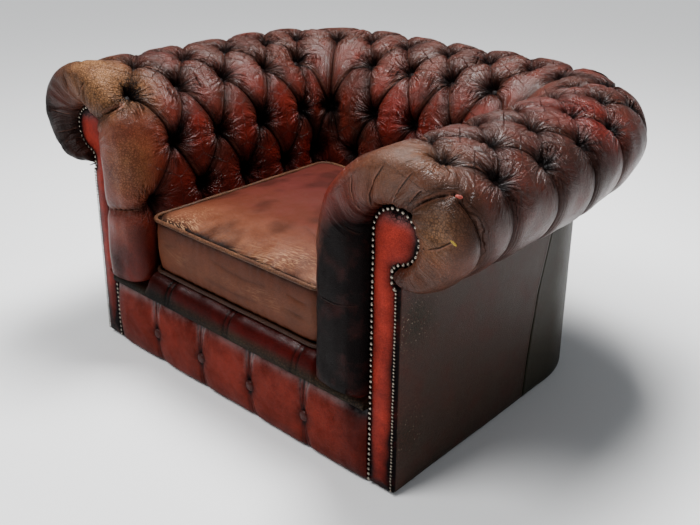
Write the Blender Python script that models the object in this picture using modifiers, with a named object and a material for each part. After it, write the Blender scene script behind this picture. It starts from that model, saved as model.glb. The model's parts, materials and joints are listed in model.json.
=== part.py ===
"""Worn club chair: a low, wide leather chair with deep-buttoned scroll arms, as separate named solids.

Metres, +Z up. The front faces -Y, the arms are at -X (left) and +X (right), and the base stands on z = 0.
Sections are written as (d, z): d is the distance outward from the centre line of the scroll roll, which runs
up the left arm, round the back and down the right arm, and u is the distance along that line.
"""

import math

import bmesh
import bpy
from mathutils import Vector

# Driving dimensions
GAP = 0.0003  # between solids that touch
FRONT = -0.4046  # y of the plane behind the two facings
ROLL_X = 0.470  # centre line of an arm's roll
ROLL_BACK = 0.755  # centre line of the back's roll, behind the facing plane
CORNER = 0.250  # radius of that centre line at a back corner
BASE_Z = 0.006  # underside of the frame and covers, on the glides

# Section of the padded inside and roll
PAD_IN = 0.210  # inner face, inside the centre line
PAD_BOTTOM = 0.190
PAD_SLOPE = 0.004  # rise of the bottom edge from the hollow to the inner face
SHOULDER_Z = 0.435  # where the straight inner face turns into the roll
CREST_D = -0.030
CREST_Z = 0.640
ROLL_OUT = 0.147  # half-width of the roll beyond the crest, on the arms
ROLL_HALF = 0.112  # half-height of the roll, on the arms
BACK_OUT = 0.124  # the same two across the back
BACK_HALF = 0.105
TAPER = (0.280, 0.640)  # where along the line the roll goes from one to the other

# Keyhole section of the facing, which is also the hollow for the frame
STEM_IN = -0.092
STEM_OUT = -0.034
HEAD_D = -0.040
HEAD_Z = 0.496
HEAD_R = 0.052
NECK_Z = 0.416

# Covers and frame
PANEL = 0.005  # outside covers, leather on card
PANEL_OUT = -0.0335
PANEL_TOP = 0.4145
SEAM_U = 0.440  # where the outside arm meets the outside back
RAIL = 0.030
RAIL_TOP = 0.148
FACE_THICK = 0.009
POST_THICK = 0.028
BORDER_TOP = 0.157
BORDER_PANELS = 5
CUSHION_HALF = 0.2525  # to the centre of the piping
CUSHION_FRONT = 0.002
CUSHION_BACK = 0.5300
CUSHION_LOW = 0.2175
CUSHION_HIGH = 0.3345
CUSHION_CROWN = 0.0375
CUSHION_CORNER = 0.045
PIPING_R = 0.0037
NAIL_PITCH = 0.013
NAIL_R = 0.0046

# Buttoning: rows by distance round the section from the bottom edge, and their depth
ROWS = (0.175, 0.285, 0.412, 0.508, 0.592, 0.665)
ROW_DEPTH = (0.036, 0.042, 0.038, 0.030, 0.026, 0.022)
ARM_PITCH = 0.1275
ARM_FIRST = 0.030
BACK_PITCH = 0.120
CORNER_COLUMNS = (0.655, 0.745, 0.815)
VALLEY_REACH = 0.045
STEPS = 2  # mesh steps between two neighbouring button columns, and between rows

LINE_ARM = ROLL_BACK - CORNER
LINE_CORNER = CORNER * math.pi / 2
CORNER_STEPS = 8
LINE_BACK = 2 * (ROLL_X - CORNER)
LINE = 2 * LINE_ARM + 2 * LINE_CORNER + LINE_BACK
SIDES = (("left", -1), ("right", 1))

OXBLOOD = (0.165, 0.035, 0.022)
BROWN = (0.110, 0.036, 0.022)
DARK = (0.030, 0.016, 0.012)
TAN = (0.230, 0.095, 0.050)
PINE = (0.520, 0.360, 0.200)
STEEL = (0.350, 0.350, 0.360)


def clear_scene():
    for obj in list(bpy.data.objects):
        bpy.data.objects.remove(obj, do_unlink=True)


def make_collection(name):
    collection = bpy.data.collections.new(name)
    bpy.context.scene.collection.children.link(collection)
    return collection


def make_material(name, colour, roughness, metallic=0.0):
    material = bpy.data.materials.new(name)
    material.use_nodes = True
    shader = material.node_tree.nodes["Principled BSDF"]
    shader.inputs["Base Color"].default_value = (*colour, 1)
    shader.inputs["Roughness"].default_value = roughness
    shader.inputs["Metallic"].default_value = metallic
    return material


def finish(obj, name, colour, roughness=0.5, metallic=0.0):
    """Names an object, files it in the chair's collection and gives it a material of its own."""
    obj.name = name
    obj.data.name = name
    for collection in list(obj.users_collection):
        collection.objects.unlink(obj)
    CHAIR.objects.link(obj)
    obj.data.materials.clear()
    obj.data.materials.append(make_material(name, colour, roughness, metallic))
    return obj


def mesh_object(name, bm, colour, roughness):
    bmesh.ops.recalc_face_normals(bm, faces=bm.faces)
    mesh = bpy.data.meshes.new(name)
    bm.to_mesh(mesh)
    bm.free()
    obj = bpy.data.objects.new(name, mesh)
    CHAIR.objects.link(obj)
    return finish(obj, name, colour, roughness)


def box(name, low, high, colour, bevel=0.0, roughness=0.7):
    """A box between two corners; y counts from the facing plane."""
    size = [b - a for a, b in zip(low, high)]
    middle = [(a + b) / 2 for a, b in zip(low, high)]
    bpy.ops.mesh.primitive_cube_add(size=1, location=(middle[0], FRONT + middle[1], middle[2]))
    obj = bpy.context.object
    obj.scale = size
    bpy.ops.object.transform_apply(location=False, rotation=False, scale=True)
    if bevel:
        rounded = obj.modifiers.new("Bevel", "BEVEL")
        rounded.width = bevel
        rounded.segments = 2
    return finish(obj, name, colour, roughness)


# The centre line and the section


def line_at(u):
    """Point on the roll's centre line and the outward direction there."""
    if u > LINE / 2:
        point, out = line_at(LINE - u)
        return Vector((-point.x, point.y, 0)), Vector((-out.x, out.y, 0))
    if u <= LINE_ARM:
        return Vector((-ROLL_X, FRONT + u, 0)), Vector((-1, 0, 0))
    if u <= LINE_ARM + LINE_CORNER:
        angle = (u - LINE_ARM) / CORNER
        out = Vector((-math.cos(angle), math.sin(angle), 0))
        return Vector((CORNER - ROLL_X, FRONT + LINE_ARM, 0)) + out * CORNER, out
    return Vector((u - LINE / 2, FRONT + ROLL_BACK, 0)), Vector((0, 1, 0))


def place(u, d, z):
    point, out = line_at(u)
    return point + out * d + Vector((0, 0, z))


FACE_LENGTH = SHOULDER_Z - PAD_BOTTOM
SHOULDER_D = CREST_D + PAD_IN
SHOULDER_RISE = CREST_Z - SHOULDER_Z
SHOULDER_LENGTH = math.pi / 2 * math.hypot(SHOULDER_D, SHOULDER_RISE) / math.sqrt(2)
ROLL_LENGTH = math.pi * math.hypot(ROLL_OUT, ROLL_HALF) / math.sqrt(2)
SECTION = FACE_LENGTH + SHOULDER_LENGTH + ROLL_LENGTH


def roll_size(u):
    """Half-width and half-height of the roll at u."""
    share = min(max((min(u, LINE - u) - TAPER[0]) / (TAPER[1] - TAPER[0]), 0), 1)
    share = share * share * (3 - 2 * share)
    return ROLL_OUT + (BACK_OUT - ROLL_OUT) * share, ROLL_HALF + (BACK_HALF - ROLL_HALF) * share


def pad_section(u, s):
    """Crown of the padding at u, at distance s round the section: the point and its outward normal."""
    if s <= FACE_LENGTH:
        return Vector((-PAD_IN, PAD_BOTTOM + s)), Vector((-1, 0))
    if s <= FACE_LENGTH + SHOULDER_LENGTH:
        angle = (s - FACE_LENGTH) / SHOULDER_LENGTH * math.pi / 2
        wide, high, sideways, up = SHOULDER_D, SHOULDER_RISE, -math.cos(angle), math.sin(angle)
        middle = Vector((CREST_D, SHOULDER_Z))
    else:
        angle = (s - FACE_LENGTH - SHOULDER_LENGTH) / ROLL_LENGTH * math.pi
        wide, high = roll_size(u)
        sideways, up = math.sin(angle), math.cos(angle)
        middle = Vector((CREST_D, CREST_Z - high))
    point = middle + Vector((wide * sideways, high * up))
    return point, Vector((sideways / wide, up / high)).normalized()


HEAD_END = Vector((HEAD_D + HEAD_R * math.cos(math.radians(80)), HEAD_Z - HEAD_R * math.sin(math.radians(80))))


def keyhole(s):
    """Edge of the facing that faces the padding at distance s round the section."""
    if s <= FACE_LENGTH:
        return Vector((STEM_IN, HEAD_Z - (HEAD_Z - PAD_BOTTOM + PAD_SLOPE) * (1 - s / FACE_LENGTH)))
    if s <= FACE_LENGTH + SHOULDER_LENGTH:
        angle = math.pi - (s - FACE_LENGTH) / SHOULDER_LENGTH * math.pi / 2
    else:
        turn = (s - FACE_LENGTH - SHOULDER_LENGTH) / ROLL_LENGTH
        if turn > 0.82:
            along = (turn - 0.82) / 0.18
            return HEAD_END + (Vector((HEAD_D, NECK_Z)) - HEAD_END) * along
        angle = math.pi / 2 - turn / 0.82 * math.radians(170)
    return Vector((HEAD_D + HEAD_R * math.cos(angle), HEAD_Z + HEAD_R * math.sin(angle)))


# Deep buttoning


def button_columns():
    """Distance along the line of each button column, A and B columns in turn, for the whole chair."""
    half = [ARM_FIRST + ARM_PITCH / 2 * i for i in range(10)]
    half += CORNER_COLUMNS
    half += [LINE / 2 - BACK_PITCH / 2 * i for i in range(4, 0, -1)]
    return half + [LINE / 2] + [LINE - u for u in reversed(half)]


COLUMNS = button_columns()
CORNERS = (11, len(COLUMNS) - 12)
LAST = len(COLUMNS) - 1


def has_button(column, row):
    """Columns alternate between odd and even rows, and the tight inner corner holds fewer."""
    if column % 2 != row % 2:
        return False
    folded = min(column, LAST - column)
    if row == 0 or row == 2:
        return folded not in (10, 12)
    if row == 1:
        return folded not in (9, 13)
    return True


def button_list():
    return [(column, row) for row in range(6) for column in range(LAST + 1) if has_button(column, row)]


def valley_list():
    """Every fold of leather as two ends (u, s, depth): between neighbouring buttons, and out to the edges."""
    def end(column, row):
        return (COLUMNS[column], ROWS[row], ROW_DEPTH[row])

    folds = []
    for column, row in button_list():
        for other in range(column - 3, column + 4):
            near = abs(other - column) == 1
            across = column in CORNERS or other in CORNERS
            wide = abs(other - column) == 3 and across and row < 3 and 1 in (row, row + 1)
            if row < 5 and 0 <= other <= LAST and has_button(other, row + 1) and (near or wide):
                folds.append((end(column, row), end(other, row + 1)))
        if row == 5:
            folds.append((end(column, row), (COLUMNS[column], SECTION, 0.010)))
        if row == 0:
            folds.append((end(column, row), (COLUMNS[column], 0.0, 0.024)))
        if column in (0, LAST) and row in (0, 2, 4):
            tip = -0.05 if column == 0 else LINE + 0.05
            folds.append((end(column, row), (tip, ROWS[row] + 0.02 * (row - 1), 0.006)))
    folds += [(end(corner, 1), end(corner, 3)) for corner in CORNERS]
    return folds


def valley_points():
    """Samples along every fold: place on the crown, and depth, shallower halfway between buttons."""
    samples = []
    for (u0, s0, depth0), (u1, s1, depth1) in valley_list():
        for step in range(13):
            t = step / 12
            slack = 1 - 0.4 * math.sin(math.pi * t)
            u, s = u0 + (u1 - u0) * t, s0 + (s1 - s0) * t
            crown = pad_section(u, s)[0]
            samples.append((place(u, crown.x, crown.y), (depth0 + (depth1 - depth0) * t) * slack))
    return samples


VALLEYS = valley_points()


def dent(point):
    """How far the folds pull the leather below its crown at a point of the crown."""
    return max(depth * max(0.0, 1 - (spot - point).length / VALLEY_REACH) ** 1.4 for spot, depth in VALLEYS)


# Rounded front of an arm, as rings: share of the way out from the keyhole, and distance behind the facing plane
FRONT_CAP = (
    (1.0, 0.012),
    (0.985, -0.010),
    (0.91, -0.027),
    (0.72, -0.0395),
    (0.42, -0.036),
    (0.16, -0.020),
    (0.0, -0.003),
)


def pad_point(u, s, outward=1.0):
    """A point of the buttoned surface; outward below 1 draws it in toward the keyhole."""
    crown, normal = pad_section(u, s)
    edge = keyhole(s)
    fade = outward ** 2
    reach = crown - normal * dent(place(u, crown.x, crown.y)) * fade
    spot = edge + (reach - edge) * outward
    return place(u, spot.x, spot.y)


def spread(stops, steps):
    """The stops with further values evenly between them."""
    values = [a + (b - a) * i / steps for a, b in zip(stops, stops[1:]) for i in range(steps)]
    return values + [stops[-1]]


AROUND = spread((0.0, 0.085) + ROWS, STEPS) + spread((ROWS[-1] + 0.045, 0.78, 0.88, SECTION), STEPS)


def pad_rings(start, stop):
    """Rings (outer points, hollow points) of a pad from start to stop along the line, clear of the next pad."""
    lines = spread([start] + [u for u in COLUMNS if start < u < stop] + [stop], STEPS)
    rings = []
    for u in lines:
        out = line_at(u)[1]
        clear = GAP / 2 * ((u == start and start > ARM_FIRST) - (u == stop))
        ahead = Vector((out.y, -out.x, 0)) * clear
        edge = [place(u, *keyhole(s)) + ahead for s in AROUND]
        rings.append(([pad_point(u, s) + ahead for s in AROUND], edge))
    return rings


def build_pad(name, start, stop, capped, side, colour):
    """A closed pad. The left arm's front cap rounds in to the facing, and the right arm is its mirror image."""
    bm = bmesh.new()
    turn = Vector((-side, 1, 1))

    def ring(points):
        return [bm.verts.new(p * turn) for p in points]

    def skin(grid, first=None):
        """Quads, or, where first numbers the grid's first step, triangles split along the folds."""
        for row, (a, b) in enumerate(zip(grid, grid[1:])):
            for i in range(len(a) - 1):
                if first is None:
                    bm.faces.new((a[i], a[i + 1], b[i + 1], b[i]))
                elif ((first + row) // STEPS + i // STEPS) % 2 == 0:
                    bm.faces.new((a[i], a[i + 1], b[i + 1]))
                    bm.faces.new((a[i], b[i + 1], b[i]))
                else:
                    bm.faces.new((a[i], a[i + 1], b[i]))
                    bm.faces.new((a[i + 1], b[i + 1], b[i]))

    rings = pad_rings(start, stop)
    outer = [ring(outside) for outside, _ in rings]
    inner = [ring(inside) for _, inside in rings]
    for edge in (0, -1):
        skin([[o[edge], i[edge]] for o, i in zip(outer, inner)])
    if capped:
        cap = [ring([pad_point(y, s, w) for s in AROUND]) for w, y in FRONT_CAP]
        skin(cap)
        skin([outer[0], cap[0]])
        skin([inner[0], cap[-1]])
        for edge in (0, -1):
            bm.faces.new([inner[0][edge], outer[0][edge]] + [line[edge] for line in cap])
    else:
        bm.faces.new(outer[0] + inner[0][::-1])
    bm.faces.new(outer[-1] + inner[-1][::-1])
    skin(outer, STEPS * COLUMNS.index(start))
    skin(inner)
    bmesh.ops.recalc_face_normals(bm, faces=bm.faces)
    bmesh.ops.dissolve_limit(bm, angle_limit=math.radians(0.3), verts=bm.verts, edges=bm.edges)
    return mesh_object(name, bm, colour, 0.4)


def loft(name, rings, colour, roughness=0.45):
    """A solid through closed rings of equal count, with a flat face on the first and last."""
    bm = bmesh.new()
    rows = [[bm.verts.new(p) for p in ring] for ring in rings]
    for a, b in zip(rows, rows[1:]):
        for i in range(len(a)):
            j = (i + 1) % len(a)
            bm.faces.new((a[i], a[j], b[j], b[i]))
    bm.faces.new(rows[0])
    bm.faces.new(rows[-1][::-1])
    return mesh_object(name, bm, colour, roughness)


def along_line(name, start, stop, section, steps, colour, roughness=0.7):
    """A closed outline of (d, z) points carried along the centre line."""
    stops = [start + (stop - start) * i / steps for i in range(steps + 1)]
    return loft(name, [[place(u, d, z) for d, z in section] for u in stops], colour, roughness)


def rectangle(d0, d1, z0, z1):
    return ((d0, z0), (d1, z0), (d1, z1), (d0, z1))


def flat_outline(name, points, side, thickness, y, colour, bevel=0.0, roughness=0.5):
    """A flat board or panel upright across the chair's front: a filled 2D curve, extruded, facing -Y."""
    curve = bpy.data.curves.new(name, "CURVE")
    curve.dimensions = "2D"
    curve.fill_mode = "BOTH"
    curve.extrude = thickness / 2 - bevel
    curve.bevel_depth = bevel
    curve.offset = -bevel
    curve.bevel_resolution = 1
    spline = curve.splines.new("POLY")
    spline.use_cyclic_u = True
    spline.points.add(len(points) - 1)
    for spot, (d, z) in zip(spline.points, points):
        spot.co = (side * (ROLL_X + d), z, 0, 1)
    obj = bpy.data.objects.new(name, curve)
    obj.location.y = FRONT + y
    obj.rotation_euler.x = math.pi / 2
    CHAIR.objects.link(obj)
    return finish(obj, name, colour, roughness)


def facing_outline(inset, stem_out, bottom):
    """The keyhole outline drawn in by inset: up the inner edge, round the head, down the outer edge."""
    middle = Vector((HEAD_D, HEAD_Z))
    neck_start = FACE_LENGTH + SHOULDER_LENGTH + 0.82 * ROLL_LENGTH
    top = max(keyhole(s).y for s in AROUND if s <= FACE_LENGTH)
    head_places = [s for s in AROUND if FACE_LENGTH < s <= neck_start]
    head = [middle + (keyhole(s) - middle) * (1 - inset / HEAD_R) for s in head_places]
    neck = [(HEAD_D - 0.001 - inset, NECK_Z + 0.022), (HEAD_D - 0.001 - inset, NECK_Z - 0.001)]
    stem = [(stem_out - inset, NECK_Z - 0.012), (stem_out - inset, bottom)]
    return [(STEM_IN + inset, bottom), (STEM_IN + inset, top), *head, *neck, *stem]


def resample(points, pitch):
    """Points every pitch along an open polyline, with its two ends."""
    points = [Vector(p) for p in points]
    lengths = [(b - a).length for a, b in zip(points, points[1:])]
    count = round(sum(lengths) / pitch)
    step = sum(lengths) / count
    found = []
    for i in range(count + 1):
        left = min(i * step, sum(lengths) - 1e-9)
        for a, b, length in zip(points, points[1:], lengths):
            if left <= length:
                found.append(a + (b - a) * left / length)
                break
            left -= length
    return found


def wire(name, points, radius, colour, cyclic=False, sides=0, beads=None, metallic=0.0, roughness=0.4):
    """A tube along the points; beads gives each point's share of the radius."""
    curve = bpy.data.curves.new(name, "CURVE")
    curve.dimensions = "3D"
    curve.bevel_depth = radius
    curve.bevel_resolution = sides
    curve.use_fill_caps = True
    spline = curve.splines.new("POLY")
    spline.use_cyclic_u = cyclic
    spline.points.add(len(points) - 1)
    for i, (spot, p) in enumerate(zip(spline.points, points)):
        spot.co = (*p, 1)
        spot.radius = beads[i % len(beads)] if beads else 1
    obj = bpy.data.objects.new(name, curve)
    CHAIR.objects.link(obj)
    return finish(obj, name, colour, roughness, metallic)


# The frame

PANEL_IN = PANEL_OUT - PANEL
RAIL_OUT = PANEL_IN - GAP
RAIL_IN = RAIL_OUT - RAIL
FRAME_FRONT = POST_THICK + 2 * GAP
BOARD_LOW = HEAD_Z - 0.009
BOARD_HIGH = HEAD_Z + 0.009
BOARD_HALF = 0.040
POST_WIDE = 0.040
ARM_END = LINE_ARM - GAP
BACK_START = LINE_ARM + LINE_CORNER


def build_rails():
    """Seat rails, the tacking rails on them, and the boards inside the scroll."""
    low = rectangle(RAIL_IN, RAIL_OUT, BASE_Z, RAIL_TOP)
    tack = rectangle(RAIL_IN, RAIL_OUT, RAIL_TOP + GAP, PAD_BOTTOM - 0.0055)
    tack_back = rectangle(RAIL_IN + 0.015, RAIL_OUT, RAIL_TOP + GAP, PAD_BOTTOM - 0.0055)
    board = rectangle(HEAD_D - BOARD_HALF, HEAD_D + BOARD_HALF, BOARD_LOW, BOARD_HIGH)
    for side, sign in SIDES:
        def u(distance):
            return distance if sign < 0 else LINE - distance

        along_line(f"seat_rail_{side}", u(FRAME_FRONT), u(ARM_END), low, 1, PINE)
        along_line(f"tacking_rail_{side}", u(FRAME_FRONT), u(ARM_END), tack, 1, PINE)
        along_line(f"arm_board_{side}", u(FRAME_FRONT), u(ARM_END), board, 1, PINE)
        along_line(f"corner_rail_{side}", u(LINE_ARM), u(BACK_START - GAP), low, CORNER_STEPS, PINE)
        along_line(f"corner_board_{side}", u(LINE_ARM), u(BACK_START - GAP), board, CORNER_STEPS, PINE)
    for name, section in (("seat_rail_back", low), ("tacking_rail_back", tack_back), ("back_board", board)):
        along_line(name, BACK_START, LINE - BACK_START, section, 1, PINE)
    edge = ROLL_X + STEM_IN
    box("seat_rail_front", (-edge, GAP, BASE_Z), (edge, POST_THICK + GAP, RAIL_TOP), PINE)


def build_posts():
    """Shaped boards behind the facings, and straight posts at the back corners."""
    shape = facing_outline(GAP, PANEL_IN, BASE_Z)
    post = rectangle(RAIL_IN - GAP - 0.019, RAIL_IN - GAP, BASE_Z, BOARD_LOW - GAP)
    for side, sign in SIDES:
        flat_outline(f"front_post_{side}", shape, sign, POST_THICK, GAP + POST_THICK / 2, PINE)
        for name, start in (("arm_post", LINE_ARM - 0.055), ("back_post", BACK_START + 0.002)):
            ends = (start, start + POST_WIDE) if sign < 0 else (LINE - start - POST_WIDE, LINE - start)
            along_line(f"{name}_{side}", *ends, post, 1, PINE)
        corner = sign * (ROLL_X + RAIL_IN - GAP)
        legs = [(corner, FRAME_FRONT), (corner, FRAME_FRONT + 0.06), (corner - sign * 0.06, FRAME_FRONT)]
        rings = [[(x, FRONT + y, z) for x, y in legs] for z in (0.030, 0.110)]
        loft(f"corner_block_{side}", rings, PINE, 0.7)


SPRING_R = 0.0019
SPRING_SPACING = 0.072
SPRING_Z = RAIL_TOP + GAP + SPRING_R


def build_springs():
    """Five zigzag seat springs from the front rail to the back rail."""
    start, stop, bends = 0.012, LINE_ARM + CORNER + RAIL_IN + 0.012, 9
    for number in range(5):
        middle = (number - 2) * SPRING_SPACING
        points = [(middle - 0.012, FRONT + start, SPRING_Z)]
        for i in range(bends):
            y = start + (stop - start) * (i + 0.5) / bends
            swing = 0.024 if i % 2 else -0.024
            points += [(middle + swing, FRONT + y + step, SPRING_Z) for step in (-0.012, 0.012)]
        points.append((middle, FRONT + stop, SPRING_Z))
        wire(f"seat_spring_{number + 1}", points, SPRING_R, STEEL, metallic=1.0)


# Covers and upholstery


def build_panels():
    """Outside covers: two arms, and a back that wraps both corners to a seam on each side."""
    section = rectangle(PANEL_IN, PANEL_OUT, BASE_Z, PANEL_TOP)
    along_line("outside_arm_left", GAP, SEAM_U - GAP, section, 1, BROWN, 0.45)
    along_line("outside_arm_right", LINE - GAP, LINE - SEAM_U + GAP, section, 1, BROWN, 0.45)
    bends = [SEAM_U] + [LINE_ARM + LINE_CORNER * i / CORNER_STEPS for i in range(CORNER_STEPS + 1)]
    stops = bends + [LINE - u for u in reversed(bends)]
    loft("outside_back", [[place(u, d, z) for d, z in section] for u in stops], BROWN)


def build_facings():
    """Padded scroll panels over the front posts, and the beaded line of nails round each."""
    shape = facing_outline(GAP, PANEL_OUT, BASE_Z)
    trim = facing_outline(NAIL_R, PANEL_OUT, BASE_Z + NAIL_R)
    for side, sign in SIDES:
        flat_outline(f"facing_{side}", shape, sign, FACE_THICK, -GAP - FACE_THICK / 2, OXBLOOD, 0.003)
        y = FRONT - 2 * GAP - FACE_THICK - NAIL_R
        route = [Vector((sign * (ROLL_X + d), y, z)) for d, z in trim]
        beads = (1.0, 0.35)
        wire(f"nails_{side}", resample(route, NAIL_PITCH / 2), NAIL_R, STEEL, beads=beads, metallic=1.0)


BORDER_HALF = ROLL_X + STEM_IN - GAP
BORDER_PITCH = 2 * BORDER_HALF / BORDER_PANELS
BORDER_BUTTON_Z = 0.075
BORDER_STEPS = 6  # mesh steps in each padded panel
BUTTON_LIFT = 0.0073  # centre of a button above the bottom of its fold


def border_depth(x, z):
    """How far the padded border stands out from the front rail."""
    place_in_panel = (x + BORDER_HALF) / BORDER_PITCH
    pleat = abs(place_in_panel - round(place_in_panel)) * BORDER_PITCH
    if round(place_in_panel) in (0, BORDER_PANELS):
        pleat = BORDER_PITCH / 2
    height = (z - BASE_Z) / (BORDER_TOP - BASE_Z)
    swell = 0.012 + 0.010 * math.sin(math.pi * min(max(height, 0), 1)) ** 0.6
    fold = 0.008 * math.exp(-((pleat / 0.016) ** 2))
    button = 0.006 * math.exp(-((pleat / 0.022) ** 2) - ((z - BORDER_BUTTON_Z) / 0.022) ** 2)
    return swell - fold - button


def build_border():
    """The padded front border with its pleats, and the four buttons in them."""
    heights = [BASE_Z + (BORDER_TOP - BASE_Z) * i / 7 for i in range(8)]
    rings = []
    for i in range(BORDER_PANELS * BORDER_STEPS + 1):
        x = -BORDER_HALF + BORDER_PITCH * i / BORDER_STEPS
        back = [(x, FRONT - GAP, z) for z in (BORDER_TOP, BASE_Z)]
        rings.append(back + [(x, FRONT - GAP - border_depth(x, z), z) for z in heights])
    loft("front_border", rings, OXBLOOD)
    for number in range(1, BORDER_PANELS):
        x = -BORDER_HALF + BORDER_PITCH * number
        y = FRONT - 2 * GAP - border_depth(x, BORDER_BUTTON_Z) - BUTTON_LIFT
        spot = (x, y, BORDER_BUTTON_Z)
        bpy.ops.mesh.primitive_uv_sphere_add(segments=8, ring_count=5, radius=1, location=spot)
        bpy.context.object.scale = (0.0095, 0.0042, 0.0095)
        finish(bpy.context.object, f"border_button_{number}", DARK)


LIP_HALF = BORDER_HALF
LIP_FRONT = -0.022
LIP_BACK = 0.045
LIP_END_TOP = PAD_BOTTOM - PAD_SLOPE - 0.002
DECK_TOP = CUSHION_LOW - PIPING_R - 2 * GAP


def build_seat():
    """The sprung deck, with the rolled lip that fills the gap between the border and the cushion."""
    low = BORDER_TOP + GAP
    rings = []
    inside = ROLL_X - PAD_IN - 0.0025
    half = (0.0, 0.08, 0.16, inside - 0.018, inside, 0.32, LIP_HALF)
    for x in [-x for x in reversed(half[1:])] + list(half):
        under_pad = abs(x) >= inside
        high = DECK_TOP - (DECK_TOP - LIP_END_TOP) * under_pad
        middle, reach = (LIP_FRONT + LIP_BACK) / 2, (LIP_BACK - LIP_FRONT) / 2
        turns = [math.pi * k / 8 for k in range(9)]
        heights = [low + (high - low) * math.sin(a) ** 0.7 for a in turns]
        arch = [(x, FRONT + middle + reach * math.cos(a), z) for a, z in zip(turns, heights)]
        rings.append(arch)
    loft("deck_lip", rings, BROWN)
    deck_low = SPRING_Z + SPRING_R + GAP
    box("seat_deck", (-0.2585, LIP_BACK + GAP, deck_low), (0.2585, 0.5120, DECK_TOP), DARK, 0.006)


def rounded_ring(inset, z):
    """Plan outline of the cushion drawn in by inset, from the front right corner on."""
    half = CUSHION_HALF - inset
    front, back = FRONT + CUSHION_FRONT + inset, FRONT + CUSHION_BACK - inset
    r = min(CUSHION_CORNER + inset * 0.9, half * 0.92)
    side = half - r
    corners = ((side, front + r, -90), (side, back - r, 0), (-side, back - r, 90), (-side, front + r, 180))
    points = []
    for (x, y, start), (next_x, next_y, _) in zip(corners, corners[1:] + corners[:1]):
        turns = [math.radians(start + 22.5 * i) for i in range(5)]
        arc = [Vector((math.cos(turn), math.sin(turn), 0)) * r for turn in turns]
        points += [Vector((x, y, z)) + p for p in arc]
        points += [points[-1] + Vector((next_x - x, next_y - y, 0)) * k / 4 for k in (1, 2, 3)]
    return points


def build_cushion():
    """The loose box cushion, full in the middle, with a piping round its top and bottom edges."""
    groove = PIPING_R + GAP
    middle = (CUSHION_LOW + CUSHION_HIGH) / 2
    shape = [(0.060, CUSHION_LOW - PIPING_R), (groove + 0.004, CUSHION_LOW - PIPING_R + 0.0005)]
    shape += [(groove + 0.001, CUSHION_LOW + 0.001), (groove - 0.001, CUSHION_LOW + 0.006)]
    shape += [(-0.001, CUSHION_LOW + 0.020)]
    shape += [(-0.003, middle), (-0.001, CUSHION_HIGH - 0.020), (groove - 0.001, CUSHION_HIGH - 0.006)]
    shape += [(groove + 0.001, CUSHION_HIGH + 0.001), (groove + 0.006, CUSHION_HIGH + 0.007)]
    for inset in (0.030, 0.065, 0.110, 0.165, 0.215):
        crown = 0.008 + (CUSHION_CROWN - 0.008) * math.sin(math.pi / 2 * inset / 0.215) ** 0.8
        shape.append((inset, CUSHION_HIGH + crown))
    loft("seat_cushion", [rounded_ring(inset, z) for inset, z in shape], TAN)
    for name, z in (("piping_top", CUSHION_HIGH), ("piping_bottom", CUSHION_LOW)):
        wire(f"cushion_{name}", rounded_ring(0, z), PIPING_R, TAN, cyclic=True)


def build_underside():
    """The cloth under the frame and the four glides that the chair stands on."""
    edge = PANEL_IN - GAP
    stops = [GAP] + [LINE_ARM + LINE_CORNER * i / CORNER_STEPS for i in range(CORNER_STEPS + 1)]
    outline = [place(u, edge, 0) for u in stops + [LINE - u for u in reversed(stops)]]
    loft("dust_cover", [[p + Vector((0, 0, z)) for p in outline] for z in (0.0042, BASE_Z - GAP)], DARK, 0.9)
    across = ROLL_X + (RAIL_IN + RAIL_OUT) / 2
    for name, y in (("front", 0.020), ("rear", LINE_ARM - 0.030)):
        for side, sign in SIDES:
            bpy.ops.mesh.primitive_cylinder_add(
                vertices=16, radius=0.014, depth=0.0039, location=(sign * across, FRONT + y, 0.00195)
            )
            finish(bpy.context.object, f"glide_{name}_{side}", STEEL, 0.3, 1.0)


clear_scene()
CHAIR = make_collection("worn_club_chair")
build_rails()
build_posts()
build_springs()
build_panels()
build_facings()
build_border()
build_seat()
build_cushion()
build_pad("inside_arm_left", ARM_FIRST, COLUMNS[CORNERS[0]], True, -1, BROWN)
build_pad("inside_arm_right", ARM_FIRST, COLUMNS[CORNERS[0]], True, 1, BROWN)
build_pad("inside_back", COLUMNS[CORNERS[0]], COLUMNS[CORNERS[1]], False, -1, OXBLOOD)
build_underside()
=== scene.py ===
"""Looks of the worn club chair: aged leather, deep buttoning, nails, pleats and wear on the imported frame.

Metres, +Z up, the front faces -Y. Lengths behind the facing plane count from FRONT. The roll's section is
(d, z), with d outward from the roll's centre line; u is the distance along that line, and s the distance
round the section.
"""

import json
import math

import bmesh
import bpy
import numpy as np
from mathutils import Matrix, Vector, geometry, kdtree, noise


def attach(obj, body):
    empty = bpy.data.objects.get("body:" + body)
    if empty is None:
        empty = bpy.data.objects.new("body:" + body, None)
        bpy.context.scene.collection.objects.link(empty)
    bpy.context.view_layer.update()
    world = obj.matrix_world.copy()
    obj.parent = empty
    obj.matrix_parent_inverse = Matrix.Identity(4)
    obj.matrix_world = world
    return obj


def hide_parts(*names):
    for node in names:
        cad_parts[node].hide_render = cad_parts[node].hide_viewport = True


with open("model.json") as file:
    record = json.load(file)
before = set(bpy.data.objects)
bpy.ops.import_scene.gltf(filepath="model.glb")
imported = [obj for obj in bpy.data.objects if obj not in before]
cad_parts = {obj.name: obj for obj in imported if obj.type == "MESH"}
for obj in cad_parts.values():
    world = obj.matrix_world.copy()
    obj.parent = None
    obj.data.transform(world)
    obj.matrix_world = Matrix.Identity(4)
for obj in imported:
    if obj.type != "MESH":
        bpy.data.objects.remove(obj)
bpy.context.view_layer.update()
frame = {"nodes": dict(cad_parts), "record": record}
bpy.ops.object.select_all(action="DESELECT")

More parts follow.
